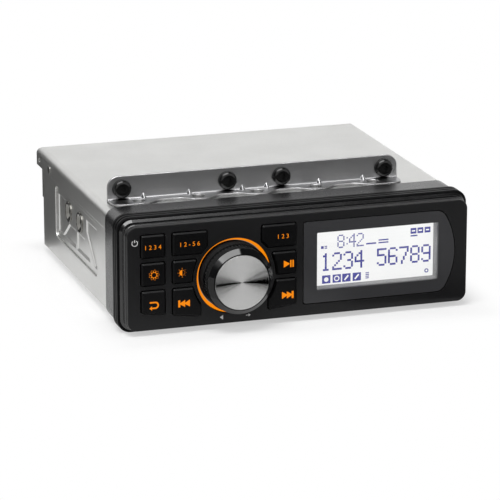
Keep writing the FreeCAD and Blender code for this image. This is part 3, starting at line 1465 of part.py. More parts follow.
def make_rear_sockets():
    harness = new_body("harness_socket")
    harness_back = tub_back + S.harness_out
    add(harness, FRONT, harness_back - S.harness_long, harness_back, harness_outline(0))
    cavity_end = harness_back - S.harness_deep
    cut(harness, FRONT, cavity_end, harness_back, harness_outline(-S.harness_wall))
    contacts = new_body("harness_contacts")
    middle = main_top + S.harness_high / 2
    pins = []
    for index in range(int(S.contact_count.value)):
        x = harness_x + S.contact_pitch * (index - (S.contact_count - 1) / 2)
        pins.append(square(x, middle - S.contact_row, S.contact_half))
        pins.append(square(x, middle + S.contact_row, S.contact_half))
    add(contacts, FRONT, cavity_end, cavity_end + S.contact_long, *pins)
    antenna = new_body("antenna_socket")
    antenna_back = tub_back + S.antenna_out
    antenna_front = antenna_back - S.antenna_long
    add(antenna, FRONT, antenna_front, antenna_back, disc(S.antenna_x, S.antenna_z, S.antenna_radius))
    foot = rect(S.antenna_x - S.antenna_foot, main_top, S.antenna_x + S.antenna_foot, S.antenna_z)
    add(antenna, FRONT, antenna_front, rear_front, foot)
    bore = disc(S.antenna_x, S.antenna_z, S.antenna_bore)
    cut(antenna, FRONT, antenna_back - S.antenna_deep, antenna_back, bore)
    jacks = new_body("phono_jacks")
    right = S.jack_x + S.jack_pitch * (S.jack_count - 1) + S.jack_edge
    top = S.jack_low + S.jack_rise + S.jack_edge
    block = rect(S.jack_x - S.jack_edge, main_top, right, top)
    add(jacks, FRONT, rear_front - S.jack_block, rear_front, block)
    ring_back = tub_back + S.jack_ring_out
    jack_back = tub_back + S.jack_out
    rings = [disc(x, z, S.jack_ring) for x, z in jack_places()]
    barrels = [disc(x, z, S.jack_radius) for x, z in jack_places()]
    bores = [disc(x, z, S.jack_bore) for x, z in jack_places()]
    add(jacks, FRONT, rear_front, ring_back, *rings)
    add(jacks, FRONT, ring_back, jack_back, *barrels)
    cut(jacks, FRONT, rear_front, jack_back, *bores)
    holder = new_body("fuse_holder")
    holder_back = tub_back + S.sheet
    add(holder, FRONT, holder_back - S.fuse_long, holder_back, holder_outline(0))
    cut(holder, FRONT, holder_back - S.fuse_in, holder_back, fuse_outline(0))
    fuse = new_body("blade_fuse")
    add(fuse, FRONT, holder_back - S.fuse_in, holder_back + S.fuse_out, fuse_outline(0))


make_face_plate()
for (label, block, side, row), centre in zip(KEYS, KEY_CENTRES):
    make_key(label, block, side, row, centre)
make_display()
make_bezel()
make_gasket()
make_collar()
make_tub()
make_side_nuts()
make_cover()
make_cover_screws()
make_bracket()
make_bracket_screws()
make_knob()
make_encoder()
make_light_ring()
make_front_board()
make_bezel_screws()
make_main_board()
make_components()
make_ribbon()
make_rear_panel()
make_rear_sockets()
doc.recompute()

for item in doc.Objects:
    if "Invalid" in item.State or "Error" in item.State:
        raise ValueError(f"{item.Label} is not made: {item.State}")
for item in exported:
    if item.Shape.isNull() or not item.Shape.isValid():
        raise ValueError(f"{item.Label} has no valid shape")

os.makedirs("parts", exist_ok=True)
for item in exported:
    item.Shape.exportStep(f"parts/{item.Label}.step")
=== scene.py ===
"""Finishes, key marks, display picture and studio of a car audio receiver."""

import math

import bmesh
import bpy
from bpy.props import FloatProperty, FloatVectorProperty, PointerProperty, StringProperty
from mathutils import Matrix, Vector


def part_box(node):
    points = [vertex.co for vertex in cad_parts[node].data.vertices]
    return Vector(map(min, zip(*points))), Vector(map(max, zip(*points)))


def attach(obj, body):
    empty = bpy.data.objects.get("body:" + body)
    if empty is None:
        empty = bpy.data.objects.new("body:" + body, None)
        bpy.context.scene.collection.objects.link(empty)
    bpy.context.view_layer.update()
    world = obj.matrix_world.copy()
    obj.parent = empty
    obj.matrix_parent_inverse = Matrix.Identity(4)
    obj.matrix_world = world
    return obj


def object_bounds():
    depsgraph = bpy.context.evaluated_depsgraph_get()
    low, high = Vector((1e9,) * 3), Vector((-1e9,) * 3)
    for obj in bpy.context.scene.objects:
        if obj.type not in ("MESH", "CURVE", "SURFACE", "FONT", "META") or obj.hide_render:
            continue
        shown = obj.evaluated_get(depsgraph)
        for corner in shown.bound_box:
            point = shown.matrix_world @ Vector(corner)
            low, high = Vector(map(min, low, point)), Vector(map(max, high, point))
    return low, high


bl_info = {
    "name": "Car audio receiver",
    "version": (1, 0, 0),
    "blender": (4, 5, 0),
    "location": "View3D > Sidebar > Receiver",
    "description": "Finishes, key marks, display picture and studio of a car audio receiver",
    "category": "Object",
}

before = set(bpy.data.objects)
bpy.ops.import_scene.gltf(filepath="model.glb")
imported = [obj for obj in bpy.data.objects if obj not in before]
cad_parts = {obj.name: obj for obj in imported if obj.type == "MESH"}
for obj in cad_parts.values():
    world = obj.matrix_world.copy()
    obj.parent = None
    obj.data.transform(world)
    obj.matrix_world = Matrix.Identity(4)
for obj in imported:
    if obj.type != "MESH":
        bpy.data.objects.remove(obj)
CAD_BOX = [list(corner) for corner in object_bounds()]
MM = 0.001
FACE_LOW, FACE_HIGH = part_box("face_plate")
GLASS_LOW, GLASS_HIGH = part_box("lcd_panel")
PANEL_LOW, PANEL_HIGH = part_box("display_panel")
KNOB_LOW, KNOB_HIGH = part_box("knob_cap")
# The display panel's gap to the face plate, its round side and its right corners, in millimetres.
PANEL_GAP = 0.65
PANEL_ARC = 38.6
PANEL_CORNER = 6.0
# A black ring of painted shade set into the gap round the display panel: its gap to both sides, and how far
# it lies behind the panel's front.
SHADE_RING_CLEAR = 0.05
SHADE_RING_BACK = 0.3 * MM


def shade(red, green, blue):
    """A colour given as display values from 0 to 255, as the linear colour that shaders take."""
    return tuple(
        level / 12.92 if level <= 0.04045 else ((level + 0.055) / 1.055) ** 2.4
        for level in (red / 255, green / 255, blue / 255)
    )


def colour_setting(name, description, red, green, blue):
    default = shade(red, green, blue)
    return FloatVectorProperty(
        name=name, description=description, default=default, min=0.0, max=1.0, size=3, subtype="COLOR"
    )


def plain_setting(name, description, default, subtype="NONE", **options):
    return FloatProperty(
        name=name, description=description, default=default, min=0.0, subtype=subtype, **options
    )


def length_setting(name, description, millimetres):
    return plain_setting(name, description, millimetres * MM, "DISTANCE", precision=5, unit="LENGTH")


# Settings


class ReceiverColours(bpy.types.PropertyGroup):
    case: colour_setting("Case", "Plated steel of cover and tub", 206, 206, 204)
    bracket: colour_setting("Bracket", "Plated steel of the mounting bracket", 158, 158, 159)
    face: colour_setting("Face", "Face plate", 22, 22, 23)
    bezel: colour_setting("Bezel", "Bezel behind the face plate", 12, 12, 13)
    keys: colour_setting("Keys", "Key caps", 9, 9, 10)
    collar: colour_setting("Collar", "Collar between gasket and case", 24, 24, 25)
    rubber: colour_setting("Gasket", "Rubber gasket", 7, 7, 8)
    panel: colour_setting("Display panel", "Panel round the display", 50, 50, 52)
    frame: colour_setting("Display frame", "Walls of the display opening", 150, 150, 150)
    glow: colour_setting("Glow", "Lit marks and the ring round the knob", 248, 138, 6)
    print: colour_setting("Print", "Printed marks on the face plate", 212, 212, 212)
    glass: colour_setting("Display glass", "Lit background of the display", 246, 246, 245)
    ink: colour_setting("Display ink", "Dots and bars of the display", 20, 23, 142)
    cap: colour_setting("Knob cap", "Spun aluminium", 204, 204, 203)
    knob: colour_setting("Knob", "Knob skirt and bevel", 6, 6, 7)


class ReceiverSizes(bpy.types.PropertyGroup):
    mark_thick: length_setting("Mark thickness", "Thickness of the marks on keys and face", 0.05)
    mark_proud: length_setting("Mark height", "How far the marks stand out", 0.02)
    number_high: length_setting("Number height", "Height of the numbers on the keys", 3.3)
    ink_thick: length_setting("Ink thickness", "Thickness of the display's dots", 0.02)
    dot_side: length_setting("Dot size", "Side of a display dot", 1.06)
    dot_pitch: length_setting("Dot pitch", "Distance of two display dots", 1.08)
    clock_side: length_setting("Clock dot size", "Side of a dot of the clock", 0.72)
    clock_pitch: length_setting("Clock dot pitch", "Distance of two dots of the clock", 0.82)
    display_text: StringProperty(
        name="Display row", description="Digits of the display's main row", default="1234 56789"
    )
    clock_text: StringProperty(name="Clock", description="Digits of the display's clock", default="8:42")


class StudioSettings(bpy.types.PropertyGroup):
    top_power: plain_setting("Top light", "Power of the soft light above", 9.0, "POWER")
    left_power: plain_setting("Left light", "Power of the soft light at the left", 2.6, "POWER")
    right_power: plain_setting("Right light", "Power of the soft light at the right", 1.6, "POWER")
    room: plain_setting("Room light", "Strength of the room's even light", 0.42)
    background: plain_setting("Background", "Strength of the background", 1.0)
    wall: plain_setting("Back wall", "Strength of the pale wall that metal reflects", 1.15)
    dark: plain_setting("Dark side", "Strength of the dark side of the room", 0.1)
    front: plain_setting("Front light", "Strength of the broad light in front", 1.15)
    window: plain_setting("Window", "Strength of the bright window above the front", 7.4)
    shadow: plain_setting("Shadow reach", "Reach of the contact shadow on the floor", 0.022, "DISTANCE")
    lens: plain_setting("Lens", "Focal length in millimetres for a 36 mm wide picture", 218.4)


def add_object(name, data):
    thing = bpy.data.objects.new(name, data)
    bpy.context.scene.collection.objects.link(thing)
    return thing


# Shader nodes

# Range in which most of a noise lies.
NOISE_LOW = 0.3
NOISE_HIGH = 0.7
WHITE = (1.0, 1.0, 1.0)


def put(tree, kind, inputs=None, **options):
    """Add a node to a tree, set its options, and set or join its inputs."""
    node = tree.nodes.new(kind)
    for option, value in options.items():
        setattr(node, option, value)
    for socket, value in (inputs or {}).items():
        join(tree, value, node.inputs[socket])
    return node


def join(tree, value, socket):
    """Join an output to a socket, or set the socket's own value."""
    if isinstance(value, bpy.types.NodeSocket):
        tree.links.new(value, socket)
    elif socket.type == "RGBA" and len(value) == 3:
        socket.default_value = (*value, 1.0)
    else:
        socket.default_value = value


def reckon(tree, operation, first, second=0.0, third=0.0):
    node = put(tree, "ShaderNodeMath", {0: first, 1: second, 2: third}, operation=operation)
    return node.outputs[0]


def reckon_vector(tree, operation, first, second=(0.0, 0.0, 0.0)):
    node = put(tree, "ShaderNodeVectorMath", {0: first, 1: second}, operation=operation)
    return node.outputs["Value" if operation in ("DOT_PRODUCT", "LENGTH") else "Vector"]


def product(tree, first, *others):
    for other in others:
        first = reckon(tree, "MULTIPLY", first, other)
    return first


def total(tree, first, *others):
    for other in others:
        first = reckon(tree, "ADD", first, other)
    return first


def mix_colours(tree, factor, first, second):
    inputs = {0: factor, 6: first, 7: second}
    return put(tree, "ShaderNodeMix", inputs, data_type="RGBA", clamp_factor=True).outputs[2]


def rescale(tree, value, low, high, start=0.0, end=1.0):
    """Map a value from one range to another, smoothly and within its ends."""
    inputs = {"Value": value, "From Min": low, "From Max": high, "To Min": start, "To Max": end}
    node = put(tree, "ShaderNodeMapRange", inputs, interpolation_type="SMOOTHSTEP")
    return node.outputs["Result"]


def noise(tree, place, scale, detail=2.0):
    inputs = {"Vector": place, "Scale": scale, "Detail": detail, "Roughness": 0.55}
    return put(tree, "ShaderNodeTexNoise", inputs).outputs["Fac"]


def sized_noise(tree, place, millimetres, detail):
    """Noise with features of a size in millimetres."""
    return noise(tree, place, reckon(tree, "DIVIDE", 1 / MM, millimetres), detail)


def new_effect(name, inputs, outputs):
    """A shader node group with named inputs and outputs, and its inner ends."""
    tree = bpy.data.node_groups.new(name, "ShaderNodeTree")
    for label, default in inputs.items():
        kind = "NodeSocketVector" if isinstance(default, tuple) else "NodeSocketFloat"
        socket = tree.interface.new_socket(label, in_out="INPUT", socket_type=kind)
        socket.default_value = default
    for label in outputs:
        tree.interface.new_socket(label, in_out="OUTPUT", socket_type="NodeSocketFloat")
    return tree, tree.nodes.new("NodeGroupInput").outputs, tree.nodes.new("NodeGroupOutput").inputs


def surface(tree):
    return put(tree, "ShaderNodeNewGeometry").outputs


def ray_kinds(tree):
    return put(tree, "ShaderNodeLightPath").outputs


def surface_place(tree):
    return put(tree, "ShaderNodeTexCoord").outputs["Object"]


def facing(tree, axis):
    """How far the surface faces along an axis."""
    return put(tree, "ShaderNodeSeparateXYZ", {"Vector": surface(tree)["Normal"]}).outputs[axis]


def from_axis(tree, place, centre):
    """The way from an axis that runs from front to back."""
    offset = reckon_vector(tree, "SUBTRACT", place, centre)
    return reckon_vector(tree, "MULTIPLY", offset, (1.0, 0.0, 1.0))


def blend(tree, share, first, second):
    """Two shaders, the second by its share."""
    return put(tree, "ShaderNodeMixShader", {0: share, 1: first.outputs[0], 2: second.outputs[0]})


def show(tree, shader, output="Material Output"):
    tree.links.new(shader.outputs[0], tree.nodes[output].inputs["Surface"])


def make_grain_effect():
    """Fine moulded grain and larger, faint patches."""
    inputs = {"Grain Size": 0.3, "Patch Size": 14.0}
    tree, given, result = new_effect("Surface grain", inputs, ["Grain", "Patches"])
    place = surface_place(tree)
    join(tree, sized_noise(tree, place, given["Grain Size"], 3.0), result["Grain"])
    patches = sized_noise(tree, place, given["Patch Size"], 4.0)
    join(tree, rescale(tree, patches, NOISE_LOW, NOISE_HIGH), result["Patches"])


def make_edge_effect():
    """A mask along outer and inner edges, broken up as handling leaves it; plated sheet and turned metal
    also use it for a painted highlight.
    """
    tree, given, result = new_effect("Edge wear", {"Width": 0.3, "Break Size": 2.0}, ["Edges"])
    radius = product(tree, given["Width"], MM)
    rounded = put(tree, "ShaderNodeBevel", {"Radius": radius}, samples=4).outputs["Normal"]
    straight = reckon_vector(tree, "DOT_PRODUCT", rounded, surface(tree)["Normal"])
    turned = reckon(tree, "SUBTRACT", 1.0, straight)
    broken = sized_noise(tree, surface_place(tree), given["Break Size"], 3.0)
    mask = product(tree, rescale(tree, turned, 0.01, 0.18), rescale(tree, broken, 0.35, 0.6))
    join(tree, mask, result["Edges"])


def make_brushed_effect():
    """Fine lines of rolled or brushed sheet, along the direction of least stretch."""
    inputs = {"Stretch": (1.0, 30.0, 30.0), "Line Size": 6.0}
    tree, given, result = new_effect("Brushed lines", inputs, ["Lines"])
    place = reckon_vector(tree, "MULTIPLY", surface_place(tree), given["Stretch"])
    join(tree, sized_noise(tree, place, given["Line Size"], 4.0), result["Lines"])


def make_turned_effect():
    """Fine circles of a turned face about an axis that runs from front to back."""
    inputs = {"Centre": (0.0, 0.0, 0.0), "Pitch": 0.15}
    tree, given, result = new_effect("Turned circles", inputs, ["Circles"])
    radius = reckon_vector(tree, "LENGTH", from_axis(tree, surface_place(tree), given["Centre"]))
    ring = put(tree, "ShaderNodeCombineXYZ", {"X": radius}).outputs["Vector"]
    join(tree, sized_noise(tree, ring, given["Pitch"], 2.0), result["Circles"])


def make_dust_effect():
    """Thin dust on surfaces that face up."""
    tree, given, result = new_effect("Settled dust", {"Speck Size": 0.5, "Cover": 0.2}, ["Dust"])
    upward = rescale(tree, facing(tree, "Z"), 0.5, 0.95)
    specks = sized_noise(tree, surface_place(tree), given["Speck Size"], 5.0)
    dusty = product(tree, upward, rescale(tree, specks, 0.5, 0.75), given["Cover"])
    join(tree, dusty, result["Dust"])


class Finish:
    """A material in the making, with its node tree and its shader."""

    def __init__(self, name, **constants):
        self.material = bpy.data.materials.new(name)
        self.material.use_nodes = True
        self.tree = self.material.node_tree
        self.shader = self.tree.nodes["Principled BSDF"]
        for name, value in constants.items():
            self.feed(name.replace("_", " "), value)

    def feed(self, name, value):
        """Feed the shader's input of that name, in any case of letters."""
        sockets = {socket.name.lower(): socket for socket in self.shader.inputs}
        join(self.tree, value, sockets[name.lower()])

    def effect(self, name, **values):
        """Place an effect with its own values, and give its outputs."""
        node = self.tree.nodes.new("ShaderNodeGroup")
        node.node_tree = bpy.data.node_groups[name]
        for label, value in values.items():
            join(self.tree, value, node.inputs[label.replace("_", " ")])
        return node.outputs

    def grain(self, grain_size, patch_size):
        """Fine grain and faint patches, of two sizes in millimetres."""
        outputs = self.effect("Surface grain", Grain_Size=grain_size, Patch_Size=patch_size)
        return outputs["Grain"], outputs["Patches"]

    def edges(self, width, break_size):
        return self.effect("Edge wear", Width=width, Break_Size=break_size)["Edges"]

    def dust(self, speck_size, cover):
        return self.effect("Settled dust", Speck_Size=speck_size, Cover=cover)["Dust"]

    def mix(self, factor, first, second):
        return mix_colours(self.tree, factor, first, second)

    def darker(self, colour, where, share, depth):
        """The colour, dimmed by a share of a mask."""
        return self.mix(self.times(where, share), colour, dim(colour, depth))

    def times(self, *values):
        return product(self.tree, *values)

    def plus(self, *values):
        return total(self.tree, *values)

    def spread(self, value, low, high):
        """Spread a noise value over the range from low to high."""
        return rescale(self.tree, value, 0.25, 0.75, low, high)

    def finished(self, colour, roughness, height, depth, normal=None):
        """Feed the colour and the roughness, raise the surface by a depth in millimetres."""
        self.feed("Base Color", colour)
        self.feed("Roughness", roughness)
        bump = put(self.tree, "ShaderNodeBump", {"Height": height, "Distance": depth * MM})
        if normal:
            join(self.tree, normal, bump.inputs["Normal"])
        self.feed("Normal", bump.outputs["Normal"])
        return self.material


def dim(colour, share):
    return tuple(level * share for level in colour)


def light_up(colour, share):
    return tuple(level + (1.0 - level) * share for level in colour)


# Finishes

# In metres: how far the painted shade in the sheet's creases and corners reaches, the round of its cut
# edges, a row of the display.
PAINTED_SHADE_REACH = 1.6 * MM
CUT_EDGE = 0.6 * MM
PIXEL_ROW = 1.08 * MM
# Bands of the wave texture in one unit, at a scale of one.
WAVES_PER_UNIT = 6.3


def plated(name, colour, roughness, stretch, tarnish=0.1, edge_light=0.35):
    """Rolled and plated steel sheet: faint lines, clouded patches, painted shade in creases and corners, a
    painted highlight on cut edges.
    """
    finish = Finish(name, metallic=1.0)
    grain, patches = finish.grain(0.5, 22.0)
    lines = finish.effect("Brushed lines", Stretch=stretch, Line_Size=9.0)["Lines"]
    clouded = finish.darker(colour, patches, tarnish, 0.72)
    lined = finish.mix(finish.times(lines, 0.07), clouded, dim(colour, 0.62))
    # Darkened where ambient occlusion finds nearby surfaces: painted shade in creases, corners and under
    # lips.
    opening = put(finish.tree, "ShaderNodeAmbientOcclusion", {"Distance": PAINTED_SHADE_REACH}, samples=8)
    openness = rescale(finish.tree, opening.outputs["AO"], 0.4, 0.7)
    crease_shaded = finish.mix(openness, dim(colour, 0.1), lined)
    # The cut edges are lightened: a painted highlight where the sheet's edges catch the light.
    shown = finish.mix(finish.edges(0.35, 3.0), crease_shaded, light_up(colour, edge_light))
    streaked = finish.plus(finish.spread(lines, -0.02, 0.02), finish.times(patches, 0.03))
    rough = finish.plus(streaked, roughness, finish.dust(0.6, 0.25))
    height = finish.plus(finish.times(lines, 0.2), finish.times(grain, 0.8))
    rounded = put(finish.tree, "ShaderNodeBevel", {"Radius": CUT_EDGE}, samples=8)
    return finish.finished(shown, rough, height, 0.012, rounded.outputs["Normal"])


def turned_metal(name, colour, roughness):
    """Turned or cold-formed metal with small marks, and edges lightened partly as wear, partly as a painted
    highlight.
    """
    finish = Finish(name, metallic=1.0)
    grain, patches = finish.grain(0.2, 3.0)
    clouded = finish.darker(colour, patches, 0.3, 0.6)
    # Edges lightened: partly wear, partly a painted highlight where edges catch the light.
    shown = finish.mix(finish.edges(0.15, 1.0), clouded, light_up(colour, 0.3))
    rough = finish.spread(grain, roughness - 0.06, roughness + 0.08)
    return finish.finished(shown, rough, grain, 0.008)


def moulded(name, colour, roughness, grain_size, grain_deep, gloss=0.4, worn=0.05):
    """Moulded plastic with a fine grain, slight sheen patches and polished edges."""
    finish = Finish(name, specular_ior_level=gloss)
    grain, patches = finish.grain(grain_size, 16.0)
    edges = finish.edges(0.25, 1.6)
    tinted = finish.darker(colour, patches, 0.35, 0.78)
    shown = finish.mix(edges, tinted, light_up(colour, worn))
    patchy = finish.plus(finish.times(patches, roughness * 0.2), roughness * 0.9)
    rough = finish.plus(patchy, finish.times(edges, -0.2 * roughness), finish.dust(0.35, 0.12))
    return finish.finished(shown, rough, grain, grain_deep)


def knob_black(colour):
    """Black knob: polished front, matt ribbed grip round it."""
    finish = Finish("knob_plastic", specular_ior_level=0.48)
    grain, patches = finish.grain(0.3, 6.0)
    edges = finish.edges(0.2, 1.2)
    grip = rescale(finish.tree, facing(finish.tree, "Y"), -0.4, -0.15)
    tinted = finish.darker(colour, patches, 0.3, 0.7)
    # The grip's colour is lightened a little: a painted sheen where its ribs catch the light; its higher
    # roughness is real.
    painted_grip_sheen = finish.mix(grip, tinted, light_up(colour, 0.02))
    shown = finish.mix(finish.times(edges, 0.3), painted_grip_sheen, light_up(colour, 0.04))
    polished = rescale(finish.tree, grip, 0.0, 1.0, 0.07, 0.3)
    return finish.finished(shown, finish.plus(polished, finish.times(edges, 0.1)), grain, 0.003)


def black_steel(colour):
    """Black plated screws: satin, slightly brown where the plating is thin at the edges."""
    finish = Finish("black_screw", specular_ior_level=0.3, coat_weight=0.12, coat_roughness=0.1)
    grain, patches = finish.grain(0.25, 4.0)
    tinted = finish.mix(patches, colour, dim(colour, 0.6))
    shown = finish.mix(finish.times(finish.edges(0.2, 0.9), 0.2), tinted, shade(44, 43, 40))
    return finish.finished(shown, finish.spread(grain, 0.13, 0.25), grain, 0.006)


def soft_rubber(name, colour):
    """Moulded rubber: matt, with a faint bloom that lies in patches."""
    finish = Finish(name, specular_ior_level=0.05)
    grain, patches = finish.grain(0.35, 9.0)
    bloom = finish.mix(finish.times(patches, 0.5), colour, light_up(colour, 0.006))
    shown = finish.mix(finish.times(finish.edges(0.4, 2.4), 0.5), bloom, light_up(colour, 0.02))
    return finish.finished(shown, finish.spread(grain, 0.38, 0.48), grain, 0.02)


def lit_plastic(name, colour, strength, depth=0.15):
    """Plastic with light coming through it, a little uneven as behind a diffuser."""
    finish = Finish(name, emission_strength=strength, specular_ior_level=0.15)
    grain, patches = finish.grain(0.3, 7.0)
    uneven = finish.darker(colour, patches, depth, 0.7)
    seen = ray_kinds(finish.tree)["Is Camera Ray"]
    finish.feed("Emission Color", finish.mix(seen, dim(colour, 0.01), uneven))
    return finish.finished(finish.mix(grain, dim(colour, 0.015), dim(colour, 0.03)), 0.4, grain, 0.01)


def window_clear():
    """Clear pane with faint wipe marks; shadows pass through it."""
    finish = Finish("window_clear", transmission_weight=1.0, ior=1.46, specular_ior_level=0.5)
    grain, patches = finish.grain(1.2, 18.0)
    finish.feed("Base Color", finish.mix(patches, WHITE, (0.985, 0.99, 0.99)))
    finish.feed("Roughness", finish.spread(grain, 0.0, 0.03))
    rays = ray_kinds(finish.tree)
    passing = reckon(finish.tree, "MAXIMUM", rays["Is Shadow Ray"], rays["Is Diffuse Ray"])
    through = put(finish.tree, "ShaderNodeBsdfTransparent")
    show(finish.tree, blend(finish.tree, passing, finish.shader, through))
    return finish.material


def display_glass(colour):
    """Lit display glass with a fine pixel grid and the soft falloff of its edge light."""
    finish = Finish("lcd_glass", roughness=0.25, emission_strength=1.0, specular_ior_level=0.3)
    place = surface_place(finish.tree)
    falloff = rescale(finish.tree, noise(finish.tree, place, 22.0, 1.0), NOISE_LOW, NOISE_HIGH)
    inputs = {"Vector": place, "Scale": 1 / PIXEL_ROW / WAVES_PER_UNIT, "Distortion": 0.0}
    rows = put(finish.tree, "ShaderNodeTexWave", inputs, bands_direction="Z").outputs["Fac"]
    lit = finish.darker(colour, falloff, 0.5, 0.93)
    finish.feed("Emission Color", finish.mix(finish.times(rows, 0.12), lit, dim(colour, 0.92)))
    finish.feed("Base Color", finish.mix(falloff, shade(70, 74, 78), shade(60, 64, 68)))
    return finish.material


def display_ink(colour):
    """Dark display dots, slightly lighter where the cell is not fully turned."""
    finish = Finish("display_ink", roughness=0.3, emission_strength=0.9, specular_ior_level=0.2)
    _, patches = finish.grain(0.4, 5.0)
    finish.feed("Emission Color", finish.mix(patches, colour, light_up(colour, 0.08)))
    finish.feed("Base Color", finish.mix(patches, dim(colour, 0.1), dim(colour, 0.14)))
    return finish.material


def grooved_normal(tree, centre, steepness):
    """Surface direction of fine turned grooves: tilted towards and away from the axis."""
    flat = surface(tree)
    radial = from_axis(tree, flat["Position"], centre)
    radius = reckon_vector(tree, "LENGTH", radial)
    groove = put(tree, "ShaderNodeTexWhiteNoise", {"W": radius}, noise_dimensions="1D").outputs["Value"]
    slope = reckon(tree, "MULTIPLY_ADD", groove, 2 * steepness, -steepness)
    tilt = reckon_vector(tree, "MULTIPLY", reckon_vector(tree, "NORMALIZE", radial), slope)
    return reckon_vector(tree, "NORMALIZE", reckon_vector(tree, "ADD", flat["Normal"], tilt))


def spun_aluminium(colour):
    """Spun aluminium with fine circles about the knob's axis."""
    low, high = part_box("knob_cap")
    centre = (low + high) / 2
    finish = Finish("knob_aluminium", metallic=1.0)
    circles = finish.effect("Turned circles", Centre=centre, Pitch=0.12)["Circles"]
    _, patches = finish.grain(0.2, 8.0)
    lined = finish.darker(colour, circles, 0.35, 0.66)
    turned = rescale(finish.tree, facing(finish.tree, "Y"), -0.98, -0.9)
    rim = finish.plus(finish.times(finish.edges(0.2, 2.0), 0.3), turned)
    finish.feed("Base Color", finish.mix(rim, lined, dim(colour, 0.06)))
    fine = finish.plus(finish.spread(circles, 0.06, 0.08), finish.times(patches, 0.01))
    finish.feed("Roughness", finish.plus(fine, finish.times(rim, 0.4)))
    finish.feed("Normal", grooved_normal(finish.tree, centre, 0.5))
    return finish.material


def circuit_board(colour):
    """Solder mask over copper tracks that run at right angles."""
    finish = Finish("board_green", specular_ior_level=0.5, coat_weight=0.3, coat_roughness=0.12)
    place = surface_place(finish.tree)
    inputs = {"Vector": place, "Scale": 160.0, "Mortar Size": 0.06, "Mortar Smooth": 0.1}
    tracks = put(finish.tree, "ShaderNodeTexBrick", inputs).outputs["Fac"]
    grain, patches = finish.grain(0.3, 9.0)
    base = finish.mix(patches, colour, dim(colour, 0.7))
    shown = finish.mix(finish.times(tracks, 0.6), base, light_up(colour, 0.12))
    return finish.finished(shown, finish.spread(grain, 0.28, 0.42), tracks, 0.03)


def wound_copper(colour):
    """Enamelled wire wound round the choke's core."""
    finish = Finish("choke_core", metallic=0.7, coat_weight=0.5, coat_roughness=0.2)
    inputs = {"Vector": surface_place(finish.tree), "Scale": 180.0, "Distortion": 1.5}
    turns = put(finish.tree, "ShaderNodeTexWave", inputs).outputs["Fac"]
    grain, _ = finish.grain(0.4, 6.0)
    shown = finish.mix(turns, colour, dim(colour, 0.35))
    return finish.finished(shown, finish.spread(grain, 0.3, 0.5), turns, 0.3)


def make_effects():
    make_grain_effect()
    make_edge_effect()
    make_brushed_effect()
    make_turned_effect()
    make_dust_effect()


def dress(material):
    """Give a material to every solid whose finish has the same name."""
    slot = material.name.split(".")[0]
    dressed = 0
    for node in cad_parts.values():
        for index, old in enumerate(node.data.materials):
            if old is not None and old.name.split(".")[0] == slot:
                node.data.materials[index] = material
                dressed += 1
    if not dressed:
        raise RuntimeError(f"no solid has the finish {slot}")


# Flat shapes for marks, drawn in millimetres with x to the right and z up

# Points closer than this are one, in metres.
WELD_REACH = 0.0005 * MM


def arc_points(x, z, radius, start, end, steps):
    turn = (end - start) / steps
    angles = [math.radians(start + turn * step) for step in range(steps + 1)]
    return [(x + radius * math.cos(angle), z + radius * math.sin(angle)) for angle in angles]


def circle_points(x, z, radius, steps=28):
    return arc_points(x, z, radius, 0, 360, steps)[:-1]


def block_points(left, low, right, high):
    return [(left, low), (right, low), (right, high), (left, high)]


def way_along(start, end, reach):
    """A point on the way from one to the other, half of it at most."""
    way = Vector(end) - start
    return start + way.normalized() * min(reach, way.length / 2)


def soften(outline, radius, steps=3):
    """Round every corner of an outline by a short curve."""
    rounded = []
    for index, corner in enumerate(outline):
        corner = Vector(corner)
        start = way_along(corner, outline[index - 1], radius)
        end = way_along(corner, outline[(index + 1) % len(outline)], radius)
        for step in range(steps + 1):
            share = step / steps
            point = start.lerp(corner, share).lerp(corner.lerp(end, share), share)
            rounded.append((point.x, point.y))
    return rounded


def mirrored(outline):
    return [(-x, z) for x, z in reversed(outline)]


def resized(shapes, share):
    return [[[(x * share, z * share) for x, z in outline] for outline in shape] for shape in shapes]


def bar_points(x, z, angle, start, end, wide):
    """A bar that points away from a centre at an angle."""
    along = Vector((math.cos(math.radians(angle)), math.sin(math.radians(angle))))
    across = Vector((-along.y, along.x)) * wide / 2
    ends = ((start, -across), (end, -across), (end, across), (start, across))
    corners = [Vector((x, z)) + along * reach + side for reach, side in ends]
    return [(corner.x, corner.y) for corner in corners]


def flat_curve(kind, thick):
    curve = bpy.data.curves.new("outline", kind)
    curve.extrude = thick / MM / 2
    return curve


def cut_plate(outlines, thick):
    """A flat plate with the first outline's shape and the others as holes or islands."""
    curve = flat_curve("CURVE", thick)
    curve.dimensions = "2D"
    curve.fill_mode = "BOTH"
    for outline in outlines:
        spline = curve.splines.new("POLY")
        spline.points.add(len(outline) - 1)
        for point, (x, z) in zip(spline.points, outline):
            point.co = (x, z, 0.0, 1.0)
        spline.use_cyclic_u = True
    return curve


def number_curve(text, high, thick):
    """Plain numerals, centred."""
    curve = flat_curve("FONT", thick)
    curve.body = text
    curve.size = high / MM
    curve.align_x = "CENTER"
    curve.align_y = "CENTER"
    return curve


def stand_piece(name, shapes, x, front, z, material, body):
    """Turn flat shapes upright, join them to one mesh and place them before a surface."""
    joined = bmesh.new()
    for shape in shapes:
        holder = bpy.data.objects.new("outline", shape)
        flat = bpy.data.meshes.new_from_object(holder)
        joined.from_mesh(flat)
        bpy.data.objects.remove(holder)
        bpy.data.meshes.remove(flat)
    upright = Matrix.Translation((x * MM, front, z * MM)) @ Matrix.Rotation(math.pi / 2, 4, "X")
    joined.transform(upright @ Matrix.Scale(MM, 4))
    bmesh.ops.remove_doubles(joined, verts=joined.verts, dist=WELD_REACH)
    bmesh.ops.recalc_face_normals(joined, faces=joined.faces)
    mesh = bpy.data.meshes.new(name)
    joined.to_mesh(mesh)
    joined.free()
    mesh.materials.append(material)
    piece = add_object(name, mesh)
    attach(piece, body)


# Marks


